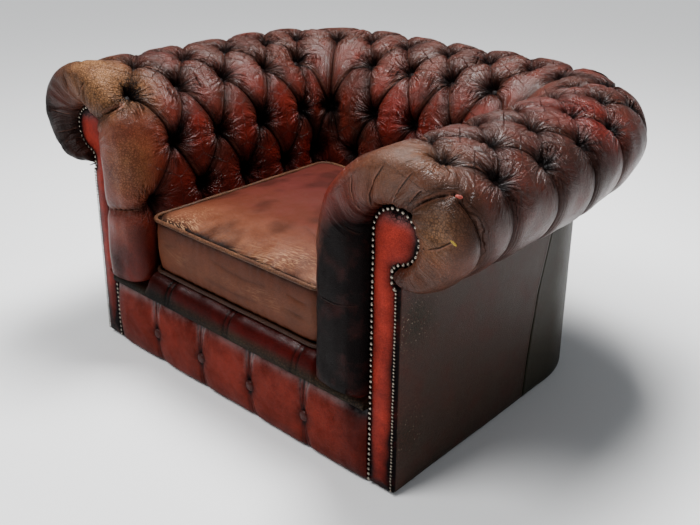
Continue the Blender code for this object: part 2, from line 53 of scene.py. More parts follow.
# Sizes, the same as in the construction
FRONT = -0.4046
ROLL_X = 0.470
ROLL_BACK = 0.755
CORNER = 0.250
BASE_Z = 0.006
PAD_IN = 0.210
PAD_BOTTOM = 0.190
PAD_SLOPE = 0.004
SHOULDER_Z = 0.435
CREST_D = -0.030
CREST_Z = 0.640
ROLL_OUT = 0.147
ROLL_HALF = 0.112
BACK_OUT = 0.124
BACK_HALF = 0.105
TAPER = (0.280, 0.640)
STEM_IN = -0.092
HEAD_D = -0.040
HEAD_Z = 0.496
HEAD_R = 0.052
NECK_Z = 0.416
PANEL_IN = -0.0385
PANEL_OUT = -0.0335
PANEL_TOP = 0.4145
BUTTON_R = 0.0098
NAIL_PITCH = 0.0106
NAIL_R = 0.0040
BEAD_PITCH = 0.0066
BEAD_R = 0.0026
NAIL_DOME = 0.72
GAP = 0.0003
BORDER_TOP = 0.157
BORDER_HALF = 0.3777
BORDER_PITCH = 0.15108
BORDER_BUTTON_Z = 0.075
BORDER_BUTTON_R = 0.0112
LIP_FRONT = -0.022
LIP_BACK = 0.045
LIP_END_TOP = 0.184
DECK_TOP = 0.2132
SEAT_INSIDE = 0.2575
CUSHION_HALF = 0.2525
CUSHION_FRONT = 0.002
CUSHION_BACK = 0.530
CUSHION_LOW = 0.2175
CUSHION_HIGH = 0.3345
CUSHION_CROWN = 0.0375
CUSHION_CORNER = 0.027
CUSHION_MIDDLE = (CUSHION_LOW + CUSHION_HIGH) / 2
PIPING_R = 0.0044
FILL_FRAMES = 20
MOST_FILL = 0.011

ROWS = (0.175, 0.285, 0.412, 0.508, 0.592, 0.665)
ROW_DEPTH = (0.037, 0.042, 0.039, 0.033, 0.028, 0.024)
ARM_PITCH = 0.1275
ARM_FIRST = 0.030
BACK_PITCH = 0.120
CORNER_COLUMNS = (0.655, 0.745, 0.815)

LINE_ARM = ROLL_BACK - CORNER
LINE_CORNER = CORNER * math.pi / 2
LINE = 2 * LINE_ARM + 2 * LINE_CORNER + 2 * (ROLL_X - CORNER)
FACE_LENGTH = SHOULDER_Z - PAD_BOTTOM
SHOULDER_D = CREST_D + PAD_IN
SHOULDER_RISE = CREST_Z - SHOULDER_Z
SHOULDER_LENGTH = math.pi / 2 * math.hypot(SHOULDER_D, SHOULDER_RISE) / math.sqrt(2)
ROLL_LENGTH = math.pi * math.hypot(ROLL_OUT, ROLL_HALF) / math.sqrt(2)
SECTION = FACE_LENGTH + SHOULDER_LENGTH + ROLL_LENGTH

# The facing's head: the shares of the roll's turn that its round and its neck take, and the round's angles
HEAD_TURN = 0.82
NECK_TURN = 0.18
HEAD_SWEEP = math.radians(170)
HEAD_END = math.radians(80)

CELL_STEPS = 36  # mesh steps between two button columns, and between rows
CLOTH_STEP = 0.006  # mesh step of the cushion


def srgb(red, green, blue):
    """A colour given as 0 to 255, as the linear values that a shader takes."""
    return tuple(
        ((c / 255 + 0.055) / 1.055) ** 2.4 if c > 10 else c / 255 / 12.92 for c in (red, green, blue)
    )


# Curves that the shapes and the wear are drawn with


def unit(value):
    """The value held between 0 and 1."""
    return np.clip(value, 0, 1)


def climb(value, width):
    """0 up to nothing, rising to 1 over the width."""
    return np.clip(value / width, 0, 1)


def fade(value, width):
    """1 at nothing, dying away over the width."""
    return np.exp(-value / width)


def bell(value, width):
    """1 at nothing, falling away softly on both sides."""
    return np.exp(-((value / width) ** 2))


def ease(share):
    """A share from 0 to 1 with soft ends."""
    return share * share * (3 - 2 * share)


# Surfaces of the padding


def line_at(u):
    """Points on the roll's centre line, and the outward directions there."""
    w = np.minimum(u, LINE - u)
    side = np.where(u <= LINE / 2, 1.0, -1.0)
    angle = np.clip((w - LINE_ARM) / CORNER, 0, math.pi / 2)
    out = np.stack([-np.cos(angle) * side, np.sin(angle)], -1)
    x = np.where(w <= LINE_ARM, -ROLL_X, CORNER - ROLL_X - np.cos(angle) * CORNER)
    y = np.where(w <= LINE_ARM, w, LINE_ARM + np.sin(angle) * CORNER)
    back = w > LINE_ARM + LINE_CORNER
    x = np.where(back, w - LINE / 2, x) * side
    y = np.where(back, ROLL_BACK, y) + FRONT
    return np.stack([x, y], -1), out


def across_line(u, d, z):
    """Points at (d, z) on the roll's sections at u."""
    centre, out = line_at(u)
    return np.stack([centre[..., 0] + out[..., 0] * d, centre[..., 1] + out[..., 1] * d, z + 0 * d], -1)


def roll_size(u):
    """The roll's half width outward and half height, which shrink along the back."""
    share = ease(climb(np.minimum(u, LINE - u) - TAPER[0], TAPER[1] - TAPER[0]))
    return ROLL_OUT + (BACK_OUT - ROLL_OUT) * share, ROLL_HALF + (BACK_HALF - ROLL_HALF) * share


def crown(u, s):
    """The padding's crown as (d, z): a straight inner face, a shoulder, and the roll."""
    wide, high = roll_size(u)
    shoulder = climb(s - FACE_LENGTH, SHOULDER_LENGTH) * math.pi / 2
    turn = climb(s - FACE_LENGTH - SHOULDER_LENGTH, ROLL_LENGTH) * math.pi
    on_face, on_roll = s <= FACE_LENGTH, s > FACE_LENGTH + SHOULDER_LENGTH
    d = np.where(on_roll, CREST_D + wide * np.sin(turn), CREST_D - SHOULDER_D * np.cos(shoulder))
    z = np.where(on_roll, CREST_Z - high + high * np.cos(turn), SHOULDER_Z + SHOULDER_RISE * np.sin(shoulder))
    return np.where(on_face, -PAD_IN, d), np.where(on_face, PAD_BOTTOM + s, z)


def keyhole(s):
    """Edge of the facing that faces the padding, as (d, z)."""
    end_d = HEAD_D + HEAD_R * math.cos(HEAD_END)
    end_z = HEAD_Z - HEAD_R * math.sin(HEAD_END)
    turn = (s - FACE_LENGTH - SHOULDER_LENGTH) / ROLL_LENGTH
    shoulder = math.pi - (s - FACE_LENGTH) / SHOULDER_LENGTH * math.pi / 2
    angle = np.where(turn < 0, shoulder, math.pi / 2 - turn / HEAD_TURN * HEAD_SWEEP)
    along = climb(turn - HEAD_TURN, NECK_TURN)
    d = np.where(turn > HEAD_TURN, end_d + (HEAD_D - end_d) * along, HEAD_D + HEAD_R * np.cos(angle))
    z = np.where(turn > HEAD_TURN, end_z + (NECK_Z - end_z) * along, HEAD_Z + HEAD_R * np.sin(angle))
    stem_z = HEAD_Z - (HEAD_Z - PAD_BOTTOM + PAD_SLOPE) * (1 - s / FACE_LENGTH)
    return np.where(s <= FACE_LENGTH, STEM_IN, d), np.where(s <= FACE_LENGTH, stem_z, z)


# The arm's rounded front: distance q in front of the first ring, share of the way out from the keyhole, and y
CAP_Q = np.array((-0.166, -0.154, -0.136, -0.120, -0.095, -0.069, -0.045, -0.028, -0.010, 0.012, ARM_FIRST))
CAP_SHARE = np.array((0.0, 0.015, 0.07, 0.18, 0.38, 0.60, 0.80, 0.92, 0.985, 1.0, 1.0))
CAP_Y = np.array((0.002, -0.010, -0.026, -0.036, -0.0400, -0.0395, -0.036, -0.026, -0.010, 0.012, ARM_FIRST))


def smooth_table(x, xs, ys):
    """A smooth curve through the table's points."""
    slopes = np.gradient(ys, xs)
    i = np.clip(np.searchsorted(xs, x) - 1, 0, len(xs) - 2)
    width = xs[i + 1] - xs[i]
    t = climb(x - xs[i], width)
    first = ys[i] * (1 + 2 * t) + slopes[i] * width * t
    last = ys[i + 1] * (3 - 2 * t) - slopes[i + 1] * width * (1 - t)
    return first * (1 - t) ** 2 + last * t**2


def padding(q, s):
    """Points of the undented padding; q is u along the arm and the back, and goes round the arm's front."""
    q, s = np.broadcast_arrays(np.asarray(q, float), np.asarray(s, float))
    share = np.where(q < ARM_FIRST, smooth_table(q, CAP_Q, CAP_SHARE), 1.0)
    u = np.where(q < ARM_FIRST, smooth_table(q, CAP_Q, CAP_Y), q)
    (d, z), (edge_d, edge_z) = crown(np.maximum(u, 0), s), keyhole(s)
    full = ease(climb(np.hypot(d - edge_d, z - edge_z), 0.075))
    u = np.where((u < 0) & (q < ARM_FIRST), u * full - 0.0015 * (1 - full), u)
    d, z = edge_d + (d - edge_d) * share, edge_z + (z - edge_z) * share
    return across_line(u, d, z)


# Buttons and folds


def button_columns():
    """Places (u) of the button columns, from the left arm's front round to the right arm's front."""
    half = [ARM_FIRST + ARM_PITCH / 2 * i for i in range(10)]
    half += CORNER_COLUMNS
    half += [LINE / 2 - BACK_PITCH / 2 * i for i in range(4, 0, -1)]
    return half + [LINE / 2] + [LINE - u for u in reversed(half)]


COLUMNS = button_columns()
LAST = len(COLUMNS) - 1
CORNERS = (11, LAST - 11)
STOPS = (0.0, 0.085, *ROWS, ROWS[-1] + 0.045, 0.78, 0.88, SECTION)
FIRST_ROW = 2  # place of the lowest button row among the stops


def has_button(column, row):
    """Whether a button stands at a crossing. They alternate, and the rounded corners leave some out."""
    folded = min(column, LAST - column)
    left_out = {0: (10, 12), 1: (9, 13), 2: (10, 12)}.get(row, ())
    return column % 2 == row % 2 and folded not in left_out


def jitter(number, key):
    """A fixed irregularity from -1 to 1, as hand work has."""
    return math.sin(number * 12.9898 + key * 78.233) * 43758.5453 % 2 - 1


def lattice(column, row):
    """Place (q, s) of a crossing of a button column and a row, with the maker's irregularity."""
    du = ds = 0
    if 0 <= row < len(ROWS):
        du = 0.0035 * jitter(column * 7 + row, 1)
        ds = 0.0030 * jitter(column * 7 + row, 2)
    return COLUMNS[column] + du, STOPS[row + FIRST_ROW] + ds


def on_lattice(column, row):
    """Place (q, s) at a fractional column and row."""
    c, r = min(int(column), LAST - 1), min(int(row + FIRST_ROW), len(STOPS) - 2) - FIRST_ROW
    a, b = column - c, row - r
    corners = [np.array(lattice(c + i, r + j)) for j in (0, 1) for i in (0, 1)]
    low, high = corners[0] * (1 - a) + corners[1] * a, corners[2] * (1 - a) + corners[3] * a
    return low * (1 - b) + high * b


def line_lengths(points):
    """How far along a line each of its points lies."""
    return np.r_[0, np.cumsum(np.linalg.norm(np.diff(points, axis=0), axis=1))]


def search_tree(points):
    """A tree that finds the nearest of the points."""
    tree = kdtree.KDTree(len(points))
    for i, point in enumerate(points):
        tree.insert(point, i)
    tree.balance()
    return tree


class Folds:
    """Samples along the folds of one pad: place, depth and reach, for the nearest-fold search."""

    def __init__(self):
        self.spots, self.depths, self.reaches = [], [], []

    def add(self, points, depths, reach):
        """A fold through points (n, 3), with its depth at each, sampled every 2 mm."""
        points, depths = np.asarray(points, float), np.asarray(depths, float)
        lengths = line_lengths(points)
        where = np.linspace(0, lengths[-1], max(int(lengths[-1] / 0.002), 2))
        self.spots += list(np.stack([np.interp(where, lengths, points[:, k]) for k in range(3)], 1))
        self.depths += list(np.interp(where, lengths, depths))
        self.reaches += [reach] * len(where)

    def nearest(self, points):
        """The place, depth and reach of the nearest sample to each point of a grid."""
        tree = search_tree(self.spots)
        number = np.array([tree.find(point)[1] for point in points.reshape(-1, 3)]).reshape(points.shape[:-1])
        return np.array(self.spots)[number], np.array(self.depths)[number], np.array(self.reaches)[number]


def pad_folds(first, last):
    """The folds of the pad between two columns, and the buttons in reach as (column, row, q, s)."""
    folds, buttons = Folds(), []
    t = np.linspace(0, 1, 25)

    def fold(a, b, deep, reach=0.046, bow=0.0):
        """A fold from one crossing to another, deepest at its ends."""
        path = np.array([on_lattice(a[0] + (b[0] - a[0]) * k, a[1] + (b[1] - a[1]) * k) for k in t])
        path[:, 0] += bow * np.sin(math.pi * t)
        folds.add(padding(path[:, 0], path[:, 1]), deep * (1 + 0.25 * np.abs(2 * t - 1)), reach)

    top = len(ROWS) - 1
    for row in range(len(ROWS)):
        for column in range(max(first - 3, 0), min(last + 3, LAST) + 1):
            if not has_button(column, row):
                continue
            buttons.append((column, row, *lattice(column, row)))
            for other in range(max(column - 3, 0), min(column + 3, LAST) + 1):
                if row == top or not has_button(other, row + 1):
                    continue
                at_corner = column in CORNERS or other in CORNERS
                wide = abs(other - column) == 3 and at_corner and row < 3 and 1 in (row, row + 1)
                if abs(other - column) == 1 or wide:
                    slack = 1 + 0.22 * jitter(column * 11 + row, other - column)
                    bow = 0.004 * jitter(column + row * 5, 4)
                    fold((column, row), (other, row + 1), 0.0080 * slack, 0.042, bow)
            if row == top:
                end = (column, len(STOPS) - 1 - FIRST_ROW)
                fold((column, row), end, 0.0085, 0.036, 0.005 * jitter(column, 9))
            if row == 0:
                fold((column, row), (column, -FIRST_ROW), 0.0120)
    for corner in CORNERS:
        fold((corner, 1), (corner, 3), 0.014)
    return folds, buttons


# Meshes


def new_object(name, data):
    """Links new data into the scene as an object."""
    obj = bpy.data.objects.new(name, data)
    bpy.context.scene.collection.objects.link(obj)
    return obj


def shade_smooth(obj):
    """Smooths the look of a mesh's faces."""
    obj.data.polygons.foreach_set("use_smooth", [True] * len(obj.data.polygons))
    return obj


def finish_mesh(mesh):
    """Links a mesh as a smooth object of the same name."""
    return shade_smooth(new_object(mesh.name, mesh))


def looped(values):
    """A grid that ends with its first column again."""
    return np.concatenate([values, values[:, :1]], axis=1)


def grid_mesh(name, points, split=None):
    """A mesh over a grid of points (rows, columns, 3). split says which cells are cut the other way."""
    rows, columns = points.shape[:2]
    number = np.arange(rows * columns).reshape(rows, columns)
    a, b, c, d = number[:-1, :-1], number[:-1, 1:], number[1:, 1:], number[1:, :-1]
    if split is None:
        faces = np.stack([a, b, c, d], -1).reshape(-1, 4)
    else:
        one = np.stack([np.stack([a, b, c], -1), np.stack([a, c, d], -1)], 2)
        two = np.stack([np.stack([a, b, d], -1), np.stack([b, c, d], -1)], 2)
        faces = np.where(split[..., None, None], two, one).reshape(-1, 3)
    mesh = bpy.data.meshes.new(name)
    mesh.from_pydata(points.reshape(-1, 3).tolist(), [], faces.tolist())
    return finish_mesh(mesh)


def paint(obj, name, values):
    """Stores one value, one vector, or one colour with alpha, for each vertex."""
    values = np.asarray(values, np.float32)
    kinds = {1: ("FLOAT", "value"), 3: ("FLOAT_VECTOR", "vector"), 4: ("FLOAT_COLOR", "color")}
    kind, field = kinds[1 if values.ndim == 1 else values.shape[1]]
    layer = obj.data.attributes.new(name, kind, "POINT")
    layer.data.foreach_set(field, values.ravel())


def grid_normals(points):
    """The outward direction at each point of a grid."""
    across = np.gradient(points, axis=1)
    along = np.gradient(points, axis=0)
    normals = np.cross(along, across)
    return normals / np.maximum(np.linalg.norm(normals, axis=-1, keepdims=True), 1e-12)


def blur(values, times):
    """Evens out a grid of values."""
    for _ in range(times):
        wide = np.pad(values, 1, mode="edge")
        values = (wide[:-2, 1:-1] + wide[2:, 1:-1] + wide[1:-1, :-2] + wide[1:-1, 2:] + 4 * values) / 8
    return values


def swell(points, scale, seed):
    """Slow irregularity over the points, about -1 to 1."""
    shift = Vector((seed * 3.1, seed * 1.7, seed * 2.3))
    values = [noise.noise(Vector(p) * scale + shift) for p in points.reshape(-1, 3)]
    return np.array(values).reshape(points.shape[:-1])


def rounded(path):
    """A path with its bends rounded."""
    path = np.asarray(path, float)
    for _ in range(3):
        cut = np.stack([path[:-1] * 0.75 + path[1:] * 0.25, path[:-1] * 0.25 + path[1:] * 0.75], 1)
        path = np.vstack([path[:1], cut.reshape(-1, 3), path[-1:]])
    return path


def line_distance(points, path, normals):
    """Each point's distance from a path on the surface, the path's strength there, and the side it is on."""
    lengths = line_lengths(path)
    best, offset = np.full(points.shape[:-1], 9.0), np.zeros(points.shape)
    share, hand = np.zeros(points.shape[:-1]), np.zeros(points.shape[:-1])
    for a, b, start in zip(path, path[1:], lengths):
        along = b - a
        length = np.linalg.norm(along)
        t = climb((points - a) @ along, length**2)
        away = points - a - t[..., None] * along
        distance = np.linalg.norm(away, axis=-1)
        nearer = distance < best
        offset = np.where(nearer[..., None], away, offset)
        share = np.where(nearer, (start + t * length) / lengths[-1], share)
        hand = np.where(nearer, np.sum(np.cross(along / length, away) * normals, axis=-1), hand)
        best = np.minimum(best, distance)
    return flat_length(offset, normals), np.sin(math.pi * share) ** 0.5, hand


def flat_length(offset, normals):
    """Length of each offset along the surface. What is far off the surface stays far."""
    off = np.sum(offset * normals, axis=-1)
    full = np.linalg.norm(offset, axis=-1)
    level = np.sqrt(np.maximum(full**2 - off**2, 0))
    return np.where(np.abs(off) < 0.03, level, full)


def behind(places):
    """Places given in millimetres, with y behind the facing plane, as points of the chair."""
    return np.asarray(places, float) / 1000 + (0, FRONT, 0)


# The buttoned pads


def pad_lines(first, last, capped):
    """The pad's grid of (q, s), and the way each cell is cut."""
    s_steps = [8, 12] + [CELL_STEPS] * 5 + [12, 10, 10, 8]
    rings = []
    if capped:
        for a, b in zip(CAP_Q, CAP_Q[1:]):
            rings += [("cap", a + (b - a) * i / 8) for i in range(8)]
    for column in range(first, last):
        rings += [("cell", column + i / CELL_STEPS) for i in range(CELL_STEPS)]
    rings.append(("cell", float(last)))
    rows = [j + i / steps - FIRST_ROW for j, steps in enumerate(s_steps) for i in range(steps)]
    rows.append(float(len(STOPS) - 1 - FIRST_ROW))
    grid = np.zeros((len(rings), len(rows), 2))
    for i, (kind, place) in enumerate(rings):
        column = first if kind == "cap" else place
        for j, row in enumerate(rows):
            grid[i, j] = on_lattice(column, row)
        if kind == "cap":
            share = (place - CAP_Q[0]) / (ARM_FIRST - CAP_Q[0])
            plain = np.interp(rows, range(-FIRST_ROW, len(STOPS) - FIRST_ROW), STOPS)
            grid[i, :, 1] = plain + (grid[i, :, 1] - plain) * share
            grid[i, :, 0] = place + (grid[i, :, 0] - COLUMNS[first]) * share
    columns = np.array([first - 1 if kind == "cap" else int(place) for kind, place in rings[:-1]])
    cells = np.array([int(math.floor(row + 1e-6)) for row in rows[:-1]])
    return grid, (columns[:, None] + cells[None, :]) % 2 != 0


def tuck(angle):
    """A wide soft ridge and a narrow tuck, once in each turn of the angle."""
    return 0.5 - 1.6 * ((1 - np.cos(angle)) / 2) ** 3


def round_buttons(grid, base, buttons):
    """Each point's distance from the nearest button, that button's depth, and the gathers round it."""
    flat, solid = grid.reshape(-1, 2), base.reshape(-1, 3)
    best, which = np.full(len(flat), 9.0), np.zeros(len(flat), int)
    for number, (_, _, q, s) in enumerate(buttons):
        distance = np.linalg.norm(solid - padding(q, s), axis=1)
        which = np.where(distance < best, number, which)
        best = np.minimum(best, distance)
    away = flat - np.array([b[2:] for b in buttons])[which]
    angle = np.arctan2(away[:, 1], away[:, 0])
    deep = np.array([ROW_DEPTH[b[1]] for b in buttons])[which]
    phase = 6.28 * np.array([jitter(i, 1) for i in range(len(buttons))])[which]
    turned = angle + 4.0 * best * np.sin(phase)
    waves = ((0.7, 6, 1), (0.6, 9, -2), (0.4, 13, 3))
    rays = sum(size * tuck(count * turned + k * phase) for size, count, k in waves)
    rays *= np.exp(-((best / 0.034) ** 1.6)) * climb(best - 0.004, 0.010)
    gather = np.stack([np.cos(turned) * 2.6, np.sin(turned) * 2.6, best * 16 + phase], -1)
    shape = grid.shape[:2]
    return best.reshape(shape), deep.reshape(shape), rays.reshape(shape), gather.reshape(*shape, 3)


def buttoned_surface(grid, folds, buttons, creases):
    """The dressed surface over the grid, its outward normals, and what its painted shade, highlights and wear
    follow.
    """
    base = padding(grid[..., 0], grid[..., 1])
    normals = grid_normals(base)
    spots, depth, reach = folds.nearest(base)
    distance = flat_length(base - spots, normals)
    upper = base[..., 2] - spots[..., 2]
    x = unit(1 - distance / reach)
    valley = depth * (1 - np.sqrt(1 - 0.98 * x**2))
    keep = climb(distance - 0.004, 0.008)
    valley = valley * (1 - keep) + blur(valley, 5) * keep
    close, deep, rays, gather = round_buttons(grid, base, buttons)
    beyond = np.maximum(close * (1 + 0.45 * climb(distance, 0.022)) - 0.006, 0)
    pit = 0.66 * (deep - 0.004) * np.exp(-((beyond / 0.0180) ** 1.2))
    uneven = swell(base, 13, 3)
    crease = (0.0030 + 0.0012 * uneven) * fade(distance, 0.0022)
    lip = 0.0011 * bell(distance - 0.0065, 0.0042) * np.clip(upper / 0.003, -0.3, 1)
    beside = fade(distance, 0.011) * climb(distance, 0.004)
    ripples = 0.0006 * beside * np.cos(distance / 0.0065 * 2 * math.pi + 5 * uneven)
    soft = 0.0030 * swell(base, 11, 1) + 0.0014 * swell(base, 30, 2)
    lift = soft * climb(distance, 0.02) + 0.0032 * rays + ripples + lip - valley - pit - crease
    side = climb(upper, 0.003)
    hand_side, hand_away = np.ones(grid.shape[:2]), np.ones(grid.shape[:2])
    for deepness, width, path in creases:
        away, strong, hand = line_distance(base, behind(rounded(path)), normals)
        lift -= deepness / 1000 * strong * fade(away, width / 1000)
        drawn = away + 0.006 * (1 - strong)
        hand_side = np.where(drawn < hand_away, np.sign(hand) * away, hand_side)
        hand_away = np.minimum(hand_away, drawn)
    rim, fan, pleats = front_pleats(grid, base)
    lift += pleats * climb(close, 0.03)
    near = bell(close, 0.050)
    gather = np.where((rim > near)[..., None], fan, gather)
    near = np.maximum(near, rim)
    facts = dict(tucks=close, rays=rays, fold_line=distance, fold_side=side, gather=gather, gathered=near)
    facts |= dict(crease_side=hand_side, crease_away=hand_away)
    return base + normals * lift[..., None], normals, facts


def front_pleats(grid, base):
    """Where the arm's front is gathered under the facing's nails, the gathers' pattern, and their relief."""
    rim = climb(-0.030 - grid[..., 0], 0.050) * climb(grid[..., 1] - FACE_LENGTH, 0.05)
    angle = np.arctan2(base[..., 2] - HEAD_Z, -ROLL_X - base[..., 0] - HEAD_D)
    away = np.hypot(base[..., 2] - HEAD_Z, -ROLL_X - base[..., 0] - HEAD_D)
    turned = angle + 5.0 * (away - HEAD_R) + 0.12 * swell(base, 25, 40)
    fan = np.stack([np.cos(turned) * 4.6, np.sin(turned) * 4.6, away * 9], -1)
    waves = sum(tuck(count * turned + count) for count in (13, 21))
    return 0.20 * rim, fan, 0.0012 * rim * waves


def blots(points, marks):
    """Sum of soft round marks at each point."""
    total = np.zeros(points.shape[:-1])
    for strength, radius, place in marks:
        total += strength * bell(np.linalg.norm(points - behind(place), axis=-1), radius / 1000)
    return total


def tone_pad(obj, points, facts, grid, marks, warmth):
    """Paints the pad: red inside the diamonds, painted shade and dirt toward the folds and buttons, and
    rubbed tan places.
    """
    s, distance, close, rays = grid[..., 1], facts["fold_line"], facts["tucks"], facts["rays"]
    middle = climb(distance, 0.030)
    inner = climb(0.45 - s, 0.14)
    red = (
        (0.10 + warmth * inner) * (0.25 + 0.75 * middle)
        + blots(points, marks["red"])
        + 0.25 * swell(points, 9, 16)
    )
    tan = blots(points, marks["tan"])
    # Painted shade round each button, along and just beside each fold, in the gathers' valleys and toward the
    # roll's outer side and underside; dirt in the listed dark marks and in blotches
    dark = 0.90 * bell(close, 0.0165) + (0.12 + 0.30 * inner) * fade(distance, 0.006)
    dark += 0.55 * unit(-rays) * bell(close, 0.04)
    dark += blots(points, marks["dark"]) + 0.45 * climb(s - 0.80, 0.12) + 0.06 * climb(s - 0.60, 0.08)
    dark += 0.75 * unit(swell(points, 12, 15) - 0.10)
    dark += 0.34 * bell(distance - 0.009, 0.010) * (0.7 + 0.6 * swell(points, 20, 17))
    colour = np.stack([red, tan, dark, 0 * red], -1).reshape(-1, 4)
    paint(obj, "tone", unit(colour))
    shine = blots(points, marks["shine"]) + 0.45 * unit(rays) * bell(close - 0.024, 0.016)
    shine += (
        0.35 * facts["fold_side"] * bell(distance - 0.0070, 0.0030) * unit(0.5 + 1.5 * swell(points, 22, 24))
    )
    shine += 0.13 * climb(s - 0.58, 0.08) * unit(0.6 + 1.6 * swell(points, 16, 25))
    paint(obj, "polish", unit(shine).ravel())
    for name in ("fold_line", "fold_side", "crease_side", "crease_away", "gathered"):
        paint(obj, name, facts[name].ravel())
    paint(obj, "gather", facts["gather"].reshape(-1, 3))
    paint(obj, "along", np.concatenate([grid, 0 * grid[..., :1]], -1).reshape(-1, 3))


def flat_ball(radius, height, **rings):
    """A ball pressed flat, for one button."""
    bpy.ops.mesh.primitive_uv_sphere_add(radius=radius, **rings)
    ball = bpy.context.object
    ball.data.transform(Matrix.Diagonal((1, 1, height, 1)))
    return ball


def upright(direction):
    """The turn that stands a piece's Z along a direction."""
    return direction.to_track_quat("Z", "Y").to_matrix().to_4x4()


def set_buttons(name, points, normals, grid, buttons):
    """A leather-covered button at the bottom of each fold crossing, all copies of one button."""
    button = flat_ball(BUTTON_R, 0.46, segments=16, ring_count=8)
    places = []
    for _, _, q, s in buttons:
        nearest = np.argmin(np.hypot(grid[..., 0] - q, grid[..., 1] - s))
        i, j = np.unravel_index(nearest, grid.shape[:2])
        up = Vector(normals[i, j])
        place = upright(up)
        place.translation = Vector(points[i, j]) + up * 0.0030
        places.append(place)
    return copies(name, button, places)


def hem(points, grid):
    """Carries the pad's lower and under edges in to the frame, so that no edge shows."""
    u = np.maximum(grid[:, :1, 0], -0.03)
    low, top = across_line(u, *keyhole(grid[:, :1, 1] * 0)), across_line(u, *keyhole(grid[:, -1:, 1]))
    cap = grid[:, :1, :1] < ARM_FIRST
    low = np.where(cap, points[:, :1] * 0.3 + low * 0.7, low)
    top = np.where(cap, points[:, -1:] * 0.3 + top * 0.7, top)
    return np.concatenate([low, (low + points[:, :1]) / 2, points, (top + points[:, -1:]) / 2, top], axis=1)


def make_pad(name, first, last, capped, side, creases, marks, node):
    """One buttoned pad with its buttons. A right arm is worked as a left arm and mirrored."""
    mirror = np.array((-side if capped else 1.0, 1.0, 1.0))
    grid, split = pad_lines(first, last, capped)
    folds, buttons = pad_folds(first, last)
    lines = []
    for deep, width, *path in creases:
        path = np.array(path) * mirror
        if deep > DEEP_CREASE:
            path = rounded(path)
            folds.add(behind(path), [deep / 1000] * len(path), width / 1000)
            deep, width = FOLD_LINE
        lines.append((deep, width, path))
    points, normals, facts = buttoned_surface(grid, folds, buttons, lines)
    whole = hem(points, grid) * mirror
    points, normals = points * mirror, normals * mirror
    edge = np.zeros((len(split), 2), bool)
    obj = grid_mesh(name, whole, np.concatenate([edge, split, edge], axis=1))
    if mirror[0] < 0:
        obj.data.flip_normals()

    def widen(values):
        """Carries the pad's values on over its hem."""
        return np.concatenate([values[:, :1], values[:, :1], values, values[:, -1:], values[:, -1:]], axis=1)

    facts = {key: widen(value) for key, value in facts.items()}
    tone_pad(obj, whole, facts, widen(grid), marks, 0.65 if capped else 0.35)
    dress(obj, tufted_leather, "leather_tufted", node)
    own = [b for b in buttons if (b[0] < last if capped else first <= b[0] <= last)]
    knobs = set_buttons(name + "_buttons", points, normals, grid, own)
    dress(knobs, button_leather, "leather_button")
    return obj


# Materials


class Wire:
    """An output of a shader node. Arithmetic on wires adds Math nodes to their tree."""

    def __init__(self, socket):
        self.socket, self.tree = socket, socket.id_data

    def also(self, output):
        """Another output of the same node."""
        return Wire(self.socket.node.outputs[output])

    def math(self, operation, a, b=0.0):
        """A Math node on the same tree."""
        return put(self.tree, "ShaderNodeMath", {0: a, 1: b}, operation=operation)

    def __add__(self, other):
        return self.math("ADD", self, other)

    def __sub__(self, other):
        return self.math("SUBTRACT", self, other)

    def __rsub__(self, other):
        return self.math("SUBTRACT", other, self)

    def __mul__(self, other):
        return self.math("MULTIPLY", self, other)

    def __truediv__(self, other):
        return self.math("DIVIDE", self, other)

    def __rpow__(self, other):
        return self.math("POWER", other, self)


def plug(node, sockets):
    """Sets a node's inputs, by name or number, to values or to wires."""
    for key, value in sockets.items():
        if isinstance(value, Wire):
            value.tree.links.new(value.socket, node.inputs[key])
        else:
            node.inputs[key].default_value = value


def put(tree, kind, sockets=None, out=0, **settings):
    """Adds a shader node with its settings and inputs, and returns one of its outputs."""
    node = tree.nodes.new(kind)
    for key, value in settings.items():
        setattr(node, key, value)
    plug(node, sockets or {})
    return Wire(node.outputs[out])


def clamped(wire):
    """The same sum or product, held between 0 and 1."""
    wire.socket.node.use_clamp = True
    return wire


def greatest(a, b):
    """The greater of two wires."""
    return a.math("MAXIMUM", a, b)


def ramp(value, low, high, to_low=0.0, to_high=1.0):
    """The value carried from one range to another, held at its ends."""
    sockets = {0: value, 1: low, 2: high, 3: to_low, 4: to_high}
    return put(value.tree, "ShaderNodeMapRange", sockets, clamp=True)


def mix_colour(share, a, b, blend="MIX"):
    """Colour a, with its share of colour b."""
    tree = (a if isinstance(a, Wire) else share).tree
    settings = {"data_type": "RGBA", "blend_type": blend, "clamp_factor": True}
    return put(tree, "ShaderNodeMix", {0: share, 6: a, 7: b}, 2, **settings)


def channels(colour):
    """The red, green and blue of a colour."""
    split = put(colour.tree, "ShaderNodeSeparateColor", {0: colour})
    return [split.also(i) for i in range(3)]


def painted(tree, name, out="Fac"):
    """What is painted on the mesh under a name."""
    return put(tree, "ShaderNodeAttribute", out=out, attribute_name=name)


def object_place(tree):
    """The place on the piece that is drawn."""
    return put(tree, "ShaderNodeTexCoord", out="Object")


def clouds(place, scale, detail=2.0, roughness=0.5, out=0):
    """Soft irregularity over a place."""
    sockets = {"Vector": place, "Scale": scale, "Detail": detail, "Roughness": roughness}
    return put(place.tree, "ShaderNodeTexNoise", sockets, out)


def cells(place, scale, feature):
    """A pattern of cells over a place."""
    sockets = {"Vector": place, "Scale": scale}
    return put(place.tree, "ShaderNodeTexVoronoi", sockets, "Distance", feature=feature)


def swayed(base, place, scale, detail, amount):
    """A base moved about by slow clouds, so that what is drawn on it bends."""
    drift = {0: clouds(place, scale, detail, out="Color"), 1: amount}
    sway = put(place.tree, "ShaderNodeVectorMath", drift, operation="MULTIPLY")
    return put(place.tree, "ShaderNodeVectorMath", {0: base, 1: sway}, operation="ADD")


